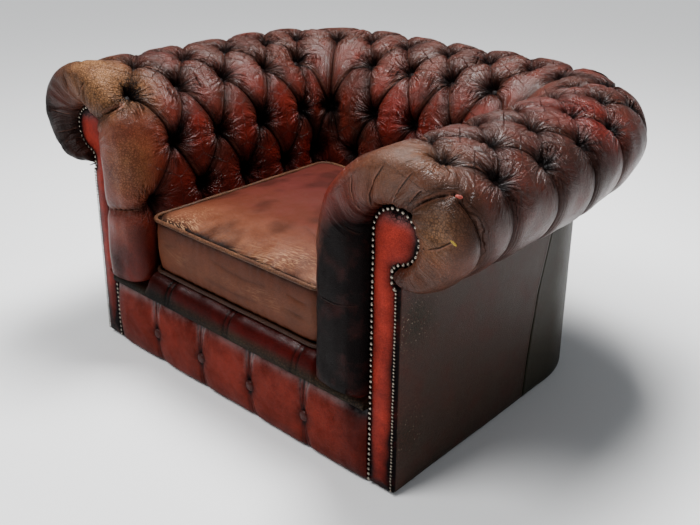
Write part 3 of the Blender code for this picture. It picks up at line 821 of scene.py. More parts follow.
def new_group(name, inputs, outputs):
    """A node group with named sockets: its tree and its inputs as wires."""
    tree = bpy.data.node_groups.new(name, "ShaderNodeTree")
    for label, value in inputs.items():
        kind = "NodeSocketFloat" if isinstance(value, float) else "NodeSocketColor"
        tree.interface.new_socket(label, in_out="INPUT", socket_type=kind).default_value = value
    for label in outputs:
        kind = "NodeSocketColor" if label == "Colour" else "NodeSocketFloat"
        tree.interface.new_socket(label, in_out="OUTPUT", socket_type=kind)
    return tree, {socket.name: Wire(socket) for socket in tree.nodes.new("NodeGroupInput").outputs}


def put_group(tree, group, sockets=None, out=0):
    """Adds one of the groups to a tree, and returns one of its outputs."""
    return put(tree, "ShaderNodeGroup", sockets, out, node_tree=group)


def give_out(tree, wires):
    """Connects a group's outputs, by name."""
    plug(tree.nodes.new("NodeGroupOutput"), wires)
    return tree


def leather_skin_group():
    """Pebbled grain, cracks and mottling of an aged hide."""
    inputs = {"Pebbles": 340.0, "Mottle Scale": 22.0, "Crack Scale": 95.0}
    tree, given = new_group("Leather skin", inputs, ("Height", "Cracks", "Mottle", "Fine"))
    place = object_place(tree)
    bent = swayed(place, place, 60.0, 3.0, (0.006, 0.006, 0.006))
    pebble = cells(bent, given["Pebbles"], "DISTANCE_TO_EDGE")
    cracks = cells(bent, given["Crack Scale"], "DISTANCE_TO_EDGE")
    fine = clouds(place, 260.0, 5.0, 0.7)
    height = ramp(pebble, 0.0, 0.26) * 0.55 + fine * 0.45
    split = ramp(cracks, 0.02, 0.19, 1.0, 0.0)
    mottle = clouds(place, given["Mottle Scale"], 6.0, 0.62)
    return give_out(tree, {"Height": height, "Cracks": split, "Mottle": mottle, "Fine": fine})


def wrinkle_group():
    """Gathers that run out from the buttons, and the fine wrinkles beside them."""
    tree, given = new_group("Leather wrinkles", {"Amount": 1.0}, ("Height", "Shade"))
    reach = painted(tree, "gathered")
    rays = clouds(painted(tree, "gather", "Vector"), 2.2, 3.0, 0.6)
    rays = ramp(rays, 0.38, 0.60, -0.5, 0.5) * reach
    place = object_place(tree)
    bent = swayed(painted(tree, "along", "Vector"), place, 9.0, 2.0, (0.05, 0.05, 0.0))
    settings = {"Vector": bent, "Rotation": (0, 0, 0.5), "Scale": (150.0, 20.0, 1.0)}
    lines = clouds(put(tree, "ShaderNodeMapping", settings), 1.0, 1.0)
    lines = ramp(lines, 0.30, 0.56, -0.6, 0.2) * ramp(clouds(place, 17.0, 1.0), 0.45, 0.60)
    both = (rays + lines * ramp(reach, 0.24, 0.45)) * given["Amount"]
    return give_out(tree, {"Height": both, "Shade": clamped(both * -1.0)})


def scratch_group():
    """Light scratches in long shallow arcs, in two directions, where the leather is rubbed."""
    tree, given = new_group("Scratches", {"Amount": 1.0}, ("Mask",))
    place = object_place(tree)
    bent = swayed(place, place, 3.0, 1.0, (0.16, 0.16, 0.16))
    total = 0.0
    for turn, tilt, offset in ((0.5, 1.1, 0.0), (-0.7, 0.9, 3.0)):
        settings = {"Location": (offset, 0, 0), "Rotation": (0, tilt, turn), "Scale": (5.0, 420.0, 420.0)}
        drawn = put(tree, "ShaderNodeMapping", {"Vector": bent, **settings})
        total = clamped(ramp(clouds(drawn, 1.0, 0.0), 0.62, 0.70) + total)
    mask = total * ramp(clouds(place, 7.0), 0.42, 0.60)
    rubbed = channels(painted(tree, "tone", "Color"))[1]
    return give_out(tree, {"Mask": mask * ramp(rubbed, 0.30, 0.60) * given["Amount"]})


def crease_group():
    """The painted shadow line in each fold and crease, the painted shade lines beside it, and on one side the
    lip, rubbed and painted as a highlight.
    """
    tree, given = new_group("Tucked fold", {"Line Width": 0.0016}, ("Line", "Lip", "Height"))
    place = object_place(tree)

    def peak(distance, middle, width):
        """A soft line at one distance."""
        off = (distance - middle) / width
        return 0.37 ** (off * off)

    away = painted(tree, "fold_line")
    line = 0.45 ** (away / given["Line Width"])
    worn = ramp(clouds(place, 18.0, 3.0), 0.40, 0.60, 0.15, 1.0)
    lip = painted(tree, "fold_side") * peak(away, 0.0042, 0.0022) * worn
    wave = away * 1350.0 + clouds(place, 26.0) * 26.0
    where = ramp(clouds(place, 11.0, 1.0), 0.42, 0.58, 0.0, 0.62)
    beside = ramp(away, 0.0030, 0.0190, 1.0, 0.0) * where
    line = greatest(line, ramp(wave.math("SINE", wave), 0.35, 1.0) * beside)
    across, near = painted(tree, "crease_side"), painted(tree, "crease_away")
    line = greatest(line, peak(across, 0.0, 0.0011) * ramp(near, 0.0035, 0.0060, 0.9, 0.0))
    lip = greatest(lip, peak(across, 0.0028, 0.0013) * ramp(near, 0.0045, 0.0070, 0.55, 0.0))
    return give_out(tree, {"Line": line, "Lip": lip, "Height": lip * 0.5 - line})


def aged_leather_group(skin_group, fold_group, wrinkles, scratches):
    """Colour, gloss and relief of aged leather after the painted tone: red, tan, dirt and painted shade, and
    the listed folds.
    """
    colours = {
        "Body": (0.1, 0.1, 0.1, 1),
        "Red": (0.1, 0, 0, 1),
        "Tan": (0.2, 0.1, 0.1, 1),
        "Dark": (0, 0, 0, 1),
        "Lip": (0.2, 0.1, 0.1, 1),
    }
    scales = {"Pebbles": 340.0, "Mottle Scale": 22.0, "Crack Scale": 170.0}
    amounts = {"Speckle": 1.0, "Folds": 0.0, "Crackle": 1.0, "Scratches": 0.0, "Specks": 0.0}
    surface = {"Gloss": 0.4, "Smooth": 0.3, "Dull": 0.5}
    outputs = ("Colour", "Roughness", "Coat", "Relief", "Fold Height", "Wrinkle Height")
    tree, given = new_group("Aged leather", colours | scales | amounts | surface, outputs)
    tone = painted(tree, "tone", "Color")
    red, tan, dark = channels(tone)
    skin = put_group(tree, skin_group, {key: given[key] for key in scales}, "Height")
    fine = skin.also("Fine")
    blotch = ramp(skin.also("Mottle"), 0.35, 0.68)
    level = blotch - 0.5
    colour = mix_colour(clamped(red + level * 0.3), given["Body"], given["Red"])

    # Tan where it is rubbed, broken into specks where that is asked for
    dots = cells(object_place(tree), 130.0, "F1")
    chosen = ramp(channels(dots.also("Color"))[0], 0.50, 0.55)
    speck = ramp(dots, 0.10, 0.20, 1.0, 0.0) * chosen
    rubbed = clamped(tan * ramp(blotch, 0.0, 1.0, 0.65, 1.2))
    rubbed = rubbed * (1.0 - given["Specks"] + speck * given["Specks"])
    colour = mix_colour(rubbed, colour, given["Tan"])

    # Dirt and painted shade in the folds and pits, dirt in the cracks of rubbed places, and in blotches
    dirt_and_shade = clamped(dark + tone.also("Alpha") * 0.95)
    in_cracks = clamped(skin.also("Cracks") * (tan * 0.85)) * given["Crackle"]
    dirt_and_shade = clamped(clamped(dirt_and_shade + in_cracks) - level * 0.22)
    colour = mix_colour(dirt_and_shade, colour, given["Dark"])

    scratched = put_group(tree, scratches, {"Amount": given["Scratches"]})
    colour = mix_colour(scratched, colour, given["Lip"])
    speckle = ramp(skin * 0.7 + fine * 0.5, 0.35, 0.85, 0.65, 1.28)
    grey = put(tree, "ShaderNodeCombineColor", {0: speckle, 1: speckle, 2: speckle})
    colour = mix_colour(given["Speckle"], colour, mix_colour(1.0, colour, grey, "MULTIPLY"))

    # Painted shade in the wrinkles and fold lines, and a painted highlight on the rubbed lips
    wrinkled = put_group(tree, wrinkles, {"Amount": given["Folds"]}, "Height")
    shade = clamped(wrinkled.also("Shade") * 1.1)
    colour = mix_colour(shade, colour, given["Dark"])
    crease = put_group(tree, fold_group, None, "Height")
    lip = crease.also("Lip") * (given["Folds"] * 0.75) * (1.0 - dark * 0.9)
    colour = mix_colour(lip, colour, given["Lip"])
    line = crease.also("Line") * (given["Folds"] * 0.94)
    colour = mix_colour(line, colour, given["Dark"])

    gloss = clamped(blotch * 0.5 + tan * 0.5)
    clean_and_unshaded = clamped(clamped(1.0 - (dirt_and_shade + (line + shade))) * (1.0 - tan * 0.7))
    coat = clean_and_unshaded * ramp(blotch, 0.0, 1.0, 1.1, 0.6) * given["Gloss"]
    coat = clamped(coat + painted(tree, "polish") * ramp(blotch, 0.0, 0.7))
    wires = {
        "Colour": colour,
        "Roughness": ramp(gloss, 0.0, 1.0, given["Smooth"], given["Dull"]),
        "Coat": coat,
        "Relief": skin - in_cracks * 0.8,
        "Fold Height": crease * given["Folds"],
        "Wrinkle Height": wrinkled,
    }
    return give_out(tree, wires)


AGED_LEATHER = aged_leather_group(leather_skin_group(), crease_group(), wrinkle_group(), scratch_group())


def new_material(name):
    """A new material with its tree and its shader."""
    material = bpy.data.materials.new(name)
    material.use_nodes = True
    return material, material.node_tree, material.node_tree.nodes["Principled BSDF"]


def relief(height, strength, distance, under=None):
    """A bump over a height, on top of another bump if there is one."""
    sockets = {"Height": height, "Strength": strength, "Distance": distance}
    return put(height.tree, "ShaderNodeBump", sockets | ({"Normal": under} if under else {}))


def leather(
    name, colours, shine, gloss, rough=(0.30, 0.46), bump=0.35, coat_rough=0.30, folded=False, **sizes
):
    """One leather of the chair. colours: body, red, tan, dark (dirt and painted shade) and lip (painted
    highlight and scratches). sizes go to the group's own inputs.
    """
    material, tree, shader = new_material(name)
    sockets = {
        key: (*srgb(*colour), 1) for key, colour in zip(("Body", "Red", "Tan", "Dark", "Lip"), colours)
    }
    sizes = {"folds": float(folded), "gloss": gloss, "smooth": rough[0], "dull": rough[1], **sizes}
    sockets |= {key.replace("_", " ").title(): value for key, value in sizes.items()}
    skin = put_group(tree, AGED_LEATHER, sockets, "Colour")
    raised = relief(skin.also("Relief"), bump, 0.0012)
    if folded:
        raised = relief(skin.also("Fold Height"), 1.0, 0.0016, raised)
        raised = relief(skin.also("Wrinkle Height"), 1.0, 0.0052, raised)
    plug(shader, {"Base Color": skin, "Roughness": skin.also("Roughness"), "Normal": raised})
    plug(shader, {"Coat Weight": skin.also("Coat"), "Coat Roughness": coat_rough, "Coat Normal": raised})
    plug(shader, {"Specular IOR Level": shine})
    return material


def plain_finish(name, light, dark, scale, roughness, metallic=0.0, stretch=(1, 1, 1), bump=0.2):
    """A mottled or streaked finish for wood, cloth and metal."""
    material, tree, shader = new_material(name)
    drawn = put(tree, "ShaderNodeMapping", {"Vector": object_place(tree), "Scale": stretch})
    streak = clouds(drawn, scale, 6.0, 0.6)
    colour = mix_colour(ramp(streak, 0.35, 0.65), (*dark, 1), (*light, 1))
    rough = ramp(streak, 0.3, 0.7, roughness * 0.85, min(roughness * 1.15, 1))
    plug(shader, {"Base Color": colour, "Roughness": rough, "Metallic": metallic})
    plug(shader, {"Normal": relief(streak, bump, 0.0005)})
    return material


def antique_metal(name, rubbed, patina):
    """Old metal: bright where it is rubbed, at the top of each head, and dark toward the rim."""
    material, tree, shader = new_material(name)
    spots = clouds(object_place(tree), 260.0, 3.0)
    share = ramp(painted(tree, "top"), 0.78, 1.0) * ramp(spots, 0.35, 0.55, 0.45, 1.0)
    colour = mix_colour(share, (*patina, 1), (*rubbed, 1))
    plug(shader, {"Base Color": colour, "Roughness": ramp(spots, 0.3, 0.7, 0.22, 0.42), "Metallic": 1.0})
    return material


def dress(obj, material, slot, *nodes):
    """Gives a piece its material and hides the CAD nodes it stands for. The slot is not used."""
    obj.data.materials.clear()
    obj.data.materials.append(material)
    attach(obj, "root")
    if nodes:
        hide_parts(*nodes)
    return obj


# The lip colour is the painted highlight on the folds' lips
tufted_leather = leather(
    "tufted_leather",
    [(64, 32, 22), (102, 25, 16), (124, 86, 56), (14, 9, 9), (140, 92, 74)],
    shine=0.03,
    gloss=0.60,
    rough=(0.32, 0.46),
    bump=0.55,
    coat_rough=0.29,
    folded=True,
    crackle=0.75,
)
button_leather = leather(
    "button_leather",
    [(46, 20, 16), (66, 20, 14), (70, 40, 30), (14, 9, 9)],
    shine=0.05,
    gloss=0.22,
)
# The facing's tan is the greyish colour of the rubbed and painted sheen at the head's top
facing_leather = leather(
    "facing_leather",
    [(70, 16, 10), (150, 46, 35), (128, 96, 96), (12, 6, 7)],
    shine=0.03,
    gloss=0.05,
    rough=(0.34, 0.46),
)
border_leather = leather(
    "border_leather",
    [(50, 13, 6), (100, 22, 6), (110, 60, 38), (12, 5, 6)],
    shine=0.02,
    gloss=0.02,
    rough=(0.34, 0.48),
)
# The lip's tan is the olive of the painted shade on its lower side
lip_leather = leather(
    "lip_leather",
    [(34, 10, 9), (72, 12, 9), (50, 42, 30), (8, 7, 5)],
    shine=0.02,
    gloss=0.02,
    rough=(0.30, 0.42),
)
panel_leather = leather(
    "panel_leather",
    [(56, 36, 28), (80, 26, 18), (190, 170, 150), (34, 34, 22)],
    shine=0.10,
    gloss=0.10,
    rough=(0.42, 0.55),
    specks=1.0,
)
cushion_leather = leather(
    "cushion_leather",
    [(98, 49, 26), (70, 24, 24), (114, 71, 48), (20, 11, 9), (164, 122, 90)],
    shine=0.05,
    gloss=0.18,
    rough=(0.40, 0.56),
    bump=0.30,
    coat_rough=0.36,
    scratches=0.55,
    speckle=0.6,
    crackle=0.2,
)
piping_leather = leather(
    "piping_leather",
    [(60, 34, 24), (68, 32, 20), (112, 74, 48), (24, 14, 11)],
    shine=0.10,
    gloss=0.2,
    rough=(0.42, 0.56),
)
nail_metal = antique_metal("nail_metal", (0.36, 0.31, 0.25), (0.018, 0.014, 0.011))
seat_foam = plain_finish("old_foam", srgb(196, 168, 60), srgb(120, 88, 30), 500.0, 0.9, bump=0.6)
raw_leather = plain_finish("raw_leather", srgb(190, 84, 70), srgb(110, 40, 32), 400.0, 0.8, bump=0.5)
frame_wood = plain_finish("frame_wood", (0.42, 0.27, 0.14), (0.24, 0.14, 0.07), 8.0, 0.7, stretch=(1, 1, 9))
deck_cloth = plain_finish("deck_cloth", (0.035, 0.028, 0.024), (0.012, 0.010, 0.009), 500.0, 0.9)
dust_cloth = plain_finish("dust_cloth", (0.020, 0.020, 0.021), (0.008, 0.008, 0.008), 900.0, 0.95)
spring_steel = plain_finish("spring_steel", (0.40, 0.40, 0.41), (0.16, 0.15, 0.15), 300.0, 0.35, 1.0)
glide_steel = plain_finish("glide_steel", (0.55, 0.55, 0.56), (0.25, 0.24, 0.23), 250.0, 0.3, 1.0)

# Wear that belongs to a place: each soft mark's strength, radius and place, in millimetres with y behind
# the facing plane
LEFT_MARKS = {
    "shine": [(0.15, 30, (-290, 0, 520))],
    "red": [
        (0.6, 50, (-287, 163, 340)),
        (0.6, 50, (-292, 285, 345)),
        (0.7, 60, (-280, 430, 350)),
        (0.9, 80, (-285, -20, 430)),
        (0.9, 55, (-300, -20, 290)),
    ],
    "tan": [
        (1.1, 62, (-355, -14, 607)),
        (0.8, 55, (-354, 32, 578)),
        (0.9, 60, (-440, 0, 640)),
        (0.55, 65, (-285, -20, 480)),
        (0.5, 55, (-285, -25, 410)),
        (0.2, 45, (-300, -25, 300)),
    ],
    "dark": [(0.8, 60, (-320, -30, 230)), (1, 100, (-560, -10, 480)), (0.6, 60, (-600, 20, 560))],
}
RIGHT_MARKS = {
    "shine": [
        (0.45, 18, (535, -30, 580)),
        (0.45, 16, (478, -36, 602)),
        (0.3, 24, (430, -34, 620)),
        (0.25, 24, (365, -20, 600)),
    ],
    "red": [
        (0.8, 80, (508, 445, 610)),
        (0.5, 50, (275, -10, 450)),
        (0.25, 50, (380, -20, 600)),
        (0.12, 60, (540, -10, 470)),
    ],
    "tan": [
        (0.4, 40, (278, -20, 460)),
        (0.9, 38, (530, -30, 545)),
        (0.28, 60, (400, -30, 610)),
        (0.32, 70, (470, 0, 640)),
        (0.3, 60, (520, -20, 470)),
    ],
    "dark": [
        (1.2, 50, (348, -30, 470)),
        (1.3, 62, (345, -30, 400)),
        (1.3, 80, (325, -20, 310)),
        (1.3, 75, (325, -10, 220)),
    ],
}
BACK_MARKS = {
    "shine": [],
    "red": [(0.6, 70, (-50, 560, 500)), (0.4, 50, (40, 560, 470))],
    "tan": [],
    "dark": [],
}

# Creases that belong to a place: depth, width and path, in millimetres. The deep ones are folds of the pad
DEEP_CREASE = 6
FOLD_LINE = (1.2, 4)  # depth and width of the line at the bottom of such a fold
LEFT_CREASES = [
    (16, 34, (-345, 30, 562), (-314, -9, 567), (-322, -33, 559), (-375, -16, 530)),
    (14, 30, (-291, 33, 354), (-269, -10, 354), (-287, -35, 351), (-327, -36, 343), (-372, -10, 335)),
    (4, 8, (-483, -33, 617), (-467, -38, 594), (-464, -28, 569)),
    (5, 9, (-396, -34, 614), (-417, -36, 585), (-453, -8, 547)),
    (4, 7, (-545, -30, 522), (-502, -25, 523), (-475, -6, 527)),
    (4, 9, (-530, -35, 470), (-493, -28, 482), (-470, -8, 490)),
    (4, 9, (-510, -30, 445), (-485, -20, 462), (-462, -6, 470)),
]
RIGHT_CREASES = [
    (16, 30, (465, -12, 550), (481, -30, 564), (507, -39, 586), (543, -13, 600)),
    (17, 34, (554, -13, 592), (577, -4, 564), (586, 8, 532), (584, 17, 500), (560, 30, 450)),
    (6, 6, (425, -34, 622), (411, -38, 600), (396, -32, 572), (384, -17, 540)),
    (6, 6, (478, -34, 622), (469, -39, 608), (454, -37, 588), (432, -14, 555)),
    (5, 7, (360, -30, 590), (358, -34, 560), (372, -18, 528)),
    (4, 5, (500, -36, 600), (480, -34, 580), (462, -16, 556)),
    (4, 8, (341, -33, 510), (351, -25, 493), (371, -9, 487)),
    (5, 10, (275, -20, 352), (303, -39, 352), (324, -36, 351), (348, -26, 357), (372, -8, 365)),
    (6, 6, (502, -22, 503), (522, -34, 511), (537, -37, 519), (560, -36, 536)),
]
CUSHION_CREASES = [
    (3, 6, (235, 30, 300), (205, 0, 292), (165, -2, 300)),
    (2.6, 7, (240, 60, 270), (215, 4, 262), (150, -2, 268)),
    (2.6, 7, (-245, 90, 285), (-225, 10, 280), (-160, -2, 292)),
    (1.8, 12, (235, 60, 345), (150, 120, 362), (60, 150, 370)),
    (2.2, 14, (240, 130, 348), (160, 200, 366), (50, 250, 372)),
    (2.2, 12, (235, 220, 350), (140, 300, 368), (20, 330, 372)),
    (1.6, 8, (-60, -4, 300), (30, -4, 286), (110, -4, 296)),
    (1.6, 8, (-80, -4, 250), (0, -4, 244), (90, -4, 252)),
]


def make_tear(name, pad, spot, turn, size, material):
    """A small tear in a pad, where its filling or the raw side of its leather shows."""
    points = vertices_of(pad)
    number = int(np.argmin(np.linalg.norm(points - behind(spot), axis=1)))
    up = pad.data.vertices[number].normal
    bpy.ops.mesh.primitive_uv_sphere_add(segments=20, ring_count=10, radius=0.5)
    tear = bpy.context.object
    bpy.ops.object.mode_set(mode="EDIT")
    bpy.ops.mesh.select_all(action="SELECT")
    bpy.ops.transform.resize(value=size)
    bpy.ops.object.mode_set(mode="OBJECT")
    place = Matrix.Translation(Vector(points[number]) + up * 0.0004) @ upright(up)
    tear.data.transform(place @ Matrix.Rotation(turn, 4, "Z"))
    for vertex in tear.data.vertices:
        vertex.co += up * 0.0006 * noise.noise(vertex.co * 400)
    shade_smooth(tear)
    tear.name = tear.data.name = name
    dress(tear, material, "leather_tufted")


# Facings and nails


def facing_edge():
    """The facing's outline as (d, z): up its inner edge, round the head, and down its outer edge."""
    rise = np.linspace(FACE_LENGTH + 1e-4, FACE_LENGTH + SHOULDER_LENGTH + HEAD_TURN * ROLL_LENGTH, 60)
    d, z = keyhole(rise)
    neck = [(HEAD_D - 0.001, NECK_Z + 0.022), (HEAD_D - 0.001, NECK_Z - 0.001), (PANEL_OUT, NECK_Z - 0.012)]
    points = [(STEM_IN, BASE_Z), (STEM_IN, HEAD_Z), *zip(d, z), *neck, (PANEL_OUT, BASE_Z)]
    return np.array(points)


def spaced(points, pitch, closed=False):
    """Points at an even pitch along a line."""
    points = np.vstack([points, points[:1]]) if closed else np.asarray(points)
    lengths = line_lengths(points)
    where = np.linspace(0, lengths[-1], max(round(lengths[-1] / pitch), 2) + 1)
    if closed:
        where = where[:-1]
    return np.stack([np.interp(where, lengths, points[:, k]) for k in range(points.shape[1])], 1)


def edge_distance(points, outline):
    """How far each flat point lies from a closed outline."""
    best = np.full(len(points), 9.0)
    for a, b in zip(outline, np.roll(outline, -1, 0)):
        along = b - a
        t = climb((points - a) @ along, max(along @ along, 1e-12))
        best = np.minimum(best, np.linalg.norm(points - a - t[:, None] * along, axis=1))
    return best


def inside(points, outline):
    """Which flat points lie inside a closed outline."""
    count = np.zeros(len(points), int)
    x, y = points[:, 0], points[:, 1]
    for (ax, ay), (bx, by) in zip(outline, np.roll(outline, -1, 0)):
        crosses = (ay > y) != (by > y)
        count += crosses & (x < ax + (y - ay) * (bx - ax) / (by - ay if by != ay else 1))
    return count % 2 == 1


def nail_rows():
    """The nails round a facing as (places, radius): domed nails as far as the neck, then small beads."""
    line = trim_line(NAIL_R + 0.0008)
    outer = (line[:, 0] > HEAD_D + 0.0005) & (line[:, 1] < NECK_Z)
    first = int(np.argmax(outer))
    return [
        (spaced(line[:first], NAIL_PITCH), NAIL_R),
        (spaced(line[first:] + (NAIL_R - BEAD_R, 0), BEAD_PITCH), BEAD_R)
    ]


def trim_line(inset):
    """The line that the nails follow, drawn in from the facing's edge."""
    line = spaced(facing_edge(), 0.002)
    across = np.gradient(line, axis=0)
    across /= np.linalg.norm(across, axis=1, keepdims=True)
    line = line + np.stack([across[:, 1], -across[:, 0]], 1) * inset
    return line[line[:, 1] > BASE_Z + inset]


def smudge(points, d, z, wide, high):
    """A soft oval mark on the flat facing, 1 in its middle."""
    return np.exp(-(((points[:, 0] - d) / wide) ** 2) - ((points[:, 1] - z) / high) ** 2)


def make_facing(side, node):
    """A shaped board covered in leather, a little padded and drawn down under its nails."""
    outline = spaced(facing_edge(), 0.003, closed=True)
    nails = np.vstack([places for places, _ in nail_rows()])
    low, high = outline.min(0), outline.max(0)
    steps = [np.arange(low[k], high[k], 0.003) for k in (0, 1)]
    flat = np.stack(np.meshgrid(*steps), -1).reshape(-1, 2)
    flat = flat[inside(flat, outline)]
    flat = flat[edge_distance(flat, outline) > 0.0016]
    every = np.vstack([outline, flat])
    count = len(outline)
    ring = [(i, (i + 1) % count) for i in range(count)]
    spots, _, faces, *_ = geometry.delaunay_2d_cdt([Vector(p) for p in every], ring, [], 1, 1e-6)
    spots = np.array([tuple(p) for p in spots])
    away = edge_distance(spots, outline)
    to_nail = np.min(np.linalg.norm(spots[:, None] - nails[None], axis=2), axis=1)
    edge = np.sqrt(1 - (1 - climb(away, 0.005)) ** 2)
    height = 0.0040 + 0.0048 * edge + 0.0042 * (1 - fade(np.maximum(away - 0.006, 0), 0.014))
    height -= 0.0012 * bell(to_nail, 0.0055)
    solid = np.stack([spots[:, 0] + ROLL_X, np.full(len(spots), FRONT - GAP), spots[:, 1]], 1)
    height += 0.0006 * swell(solid, 30, 5 + side)
    front = solid - np.array((0, 1, 0)) * height[:, None]
    front[:, 0] *= side
    back = front.copy()
    back[:, 1] = FRONT - GAP
    mesh = bpy.data.meshes.new(f"{node}_leather")
    walls = [(i, (i + 1) % count, (i + 1) % count + len(front), i + len(front)) for i in range(count)]
    mesh.from_pydata(np.vstack([front, back]).tolist(), [], [tuple(f) for f in faces] + walls)
    obj = finish_mesh(mesh)
    face_out(obj)
    # Painted shade toward the edge, where the padding turns down under the nails, beside the head's outer
    # side and over the whole left facing; darker toward the bottom, and dirt in blotches
    dark = 1.05 * fade(np.maximum(away - 0.005, 0), 0.0085) + 0.45 * bell(spots[:, 1] - 0.03, 0.07)
    dark += 0.40 * unit(swell(solid, 26, 18 + side) - 0.05)
    dark += 0.55 * smudge(spots, HEAD_D + 0.048, HEAD_Z - 0.010, 0.020, 0.050)
    dark += 0.10 * climb(0.40 - spots[:, 1], 0.15) + (0.25 if side < 0 else 0.0)
    # A patch at the head's top, rubbed and painted lighter as a sheen
    worn = smudge(spots, HEAD_D + 0.010, HEAD_Z + 0.036, 0.028, 0.012)
    tone = np.stack([0.85 + 0 * away, 0.75 * worn, unit(dark), 0 * away], 1)
    paint(obj, "tone", np.vstack([tone, tone]))
    shine = 0.35 * fade(np.maximum(HEAD_Z + 0.020 - spots[:, 1], 0), 0.030) * bell(away - 0.010, 0.012)
    paint(obj, "polish", np.hstack([shine, shine]))
    dress(obj, facing_leather, "leather_facing", node)


def face_out(obj):
    """Turns every face outward."""
    edit = bmesh.new()
    edit.from_mesh(obj.data)
    bmesh.ops.recalc_face_normals(edit, faces=edit.faces)
    edit.to_mesh(obj.data)
    edit.free()


def nail_head():
    """One domed nail head with a turned rim, facing up."""
    bpy.ops.mesh.primitive_uv_sphere_add(segments=10, ring_count=8, radius=1.0)
    nail = bpy.context.object
    bpy.ops.object.mode_set(mode="EDIT")
    bpy.ops.mesh.select_all(action="SELECT")
    bpy.ops.mesh.bisect(plane_co=(0, 0, 0.05), plane_no=(0, 0, 1), clear_inner=True, use_fill=True)
    bpy.ops.mesh.select_all(action="SELECT")
    bpy.ops.transform.resize(value=(1, 1, NAIL_DOME))
    bpy.ops.object.mode_set(mode="OBJECT")
    return nail


def copies(name, pattern, places):
    """One object made of copies of a pattern, each at its own place and turn. The pattern itself goes."""
    whole = bmesh.new()
    for place in places:
        copy = pattern.data.copy()
        copy.transform(place)
        whole.from_mesh(copy)
        bpy.data.meshes.remove(copy)
    mesh = bpy.data.meshes.new(name)
    whole.to_mesh(mesh)
    whole.free()
    bpy.data.objects.remove(pattern)
    return finish_mesh(mesh)


def make_nails(side, node):
    """The row of domed nails round a facing, each set by hand."""
    head = nail_head()
    height = np.array([vertex.co.z for vertex in head.data.vertices]) / NAIL_DOME
    places = []
    for row, radius in nail_rows():
        for i, (d, z) in enumerate(row):
            drift = 0.0005 * jitter(i, side)
            tip = Matrix.Rotation(math.pi / 2 + 0.10 * jitter(i, side + 3), 4, "X")
            turn = tip @ Matrix.Rotation(0.10 * jitter(i, side + 5), 4, "Y")
            spot = (side * (ROLL_X + d) + drift, FRONT - GAP - 0.0082, z + 0.0005 * jitter(i, side + 7))
            places.append(Matrix.Translation(spot) @ turn @ Matrix.Diagonal((radius, radius, radius, 1)))
    obj = copies(f"{node}_heads", head, places)
    paint(obj, "top", np.tile(height, len(places)))
    dress(obj, nail_metal, "nail_metal", node)


# Front border and deck lip


def pleat_places():
    """Where the border's four pleats stand across the chair."""
    return [-BORDER_HALF + BORDER_PITCH * i for i in range(1, 5)]


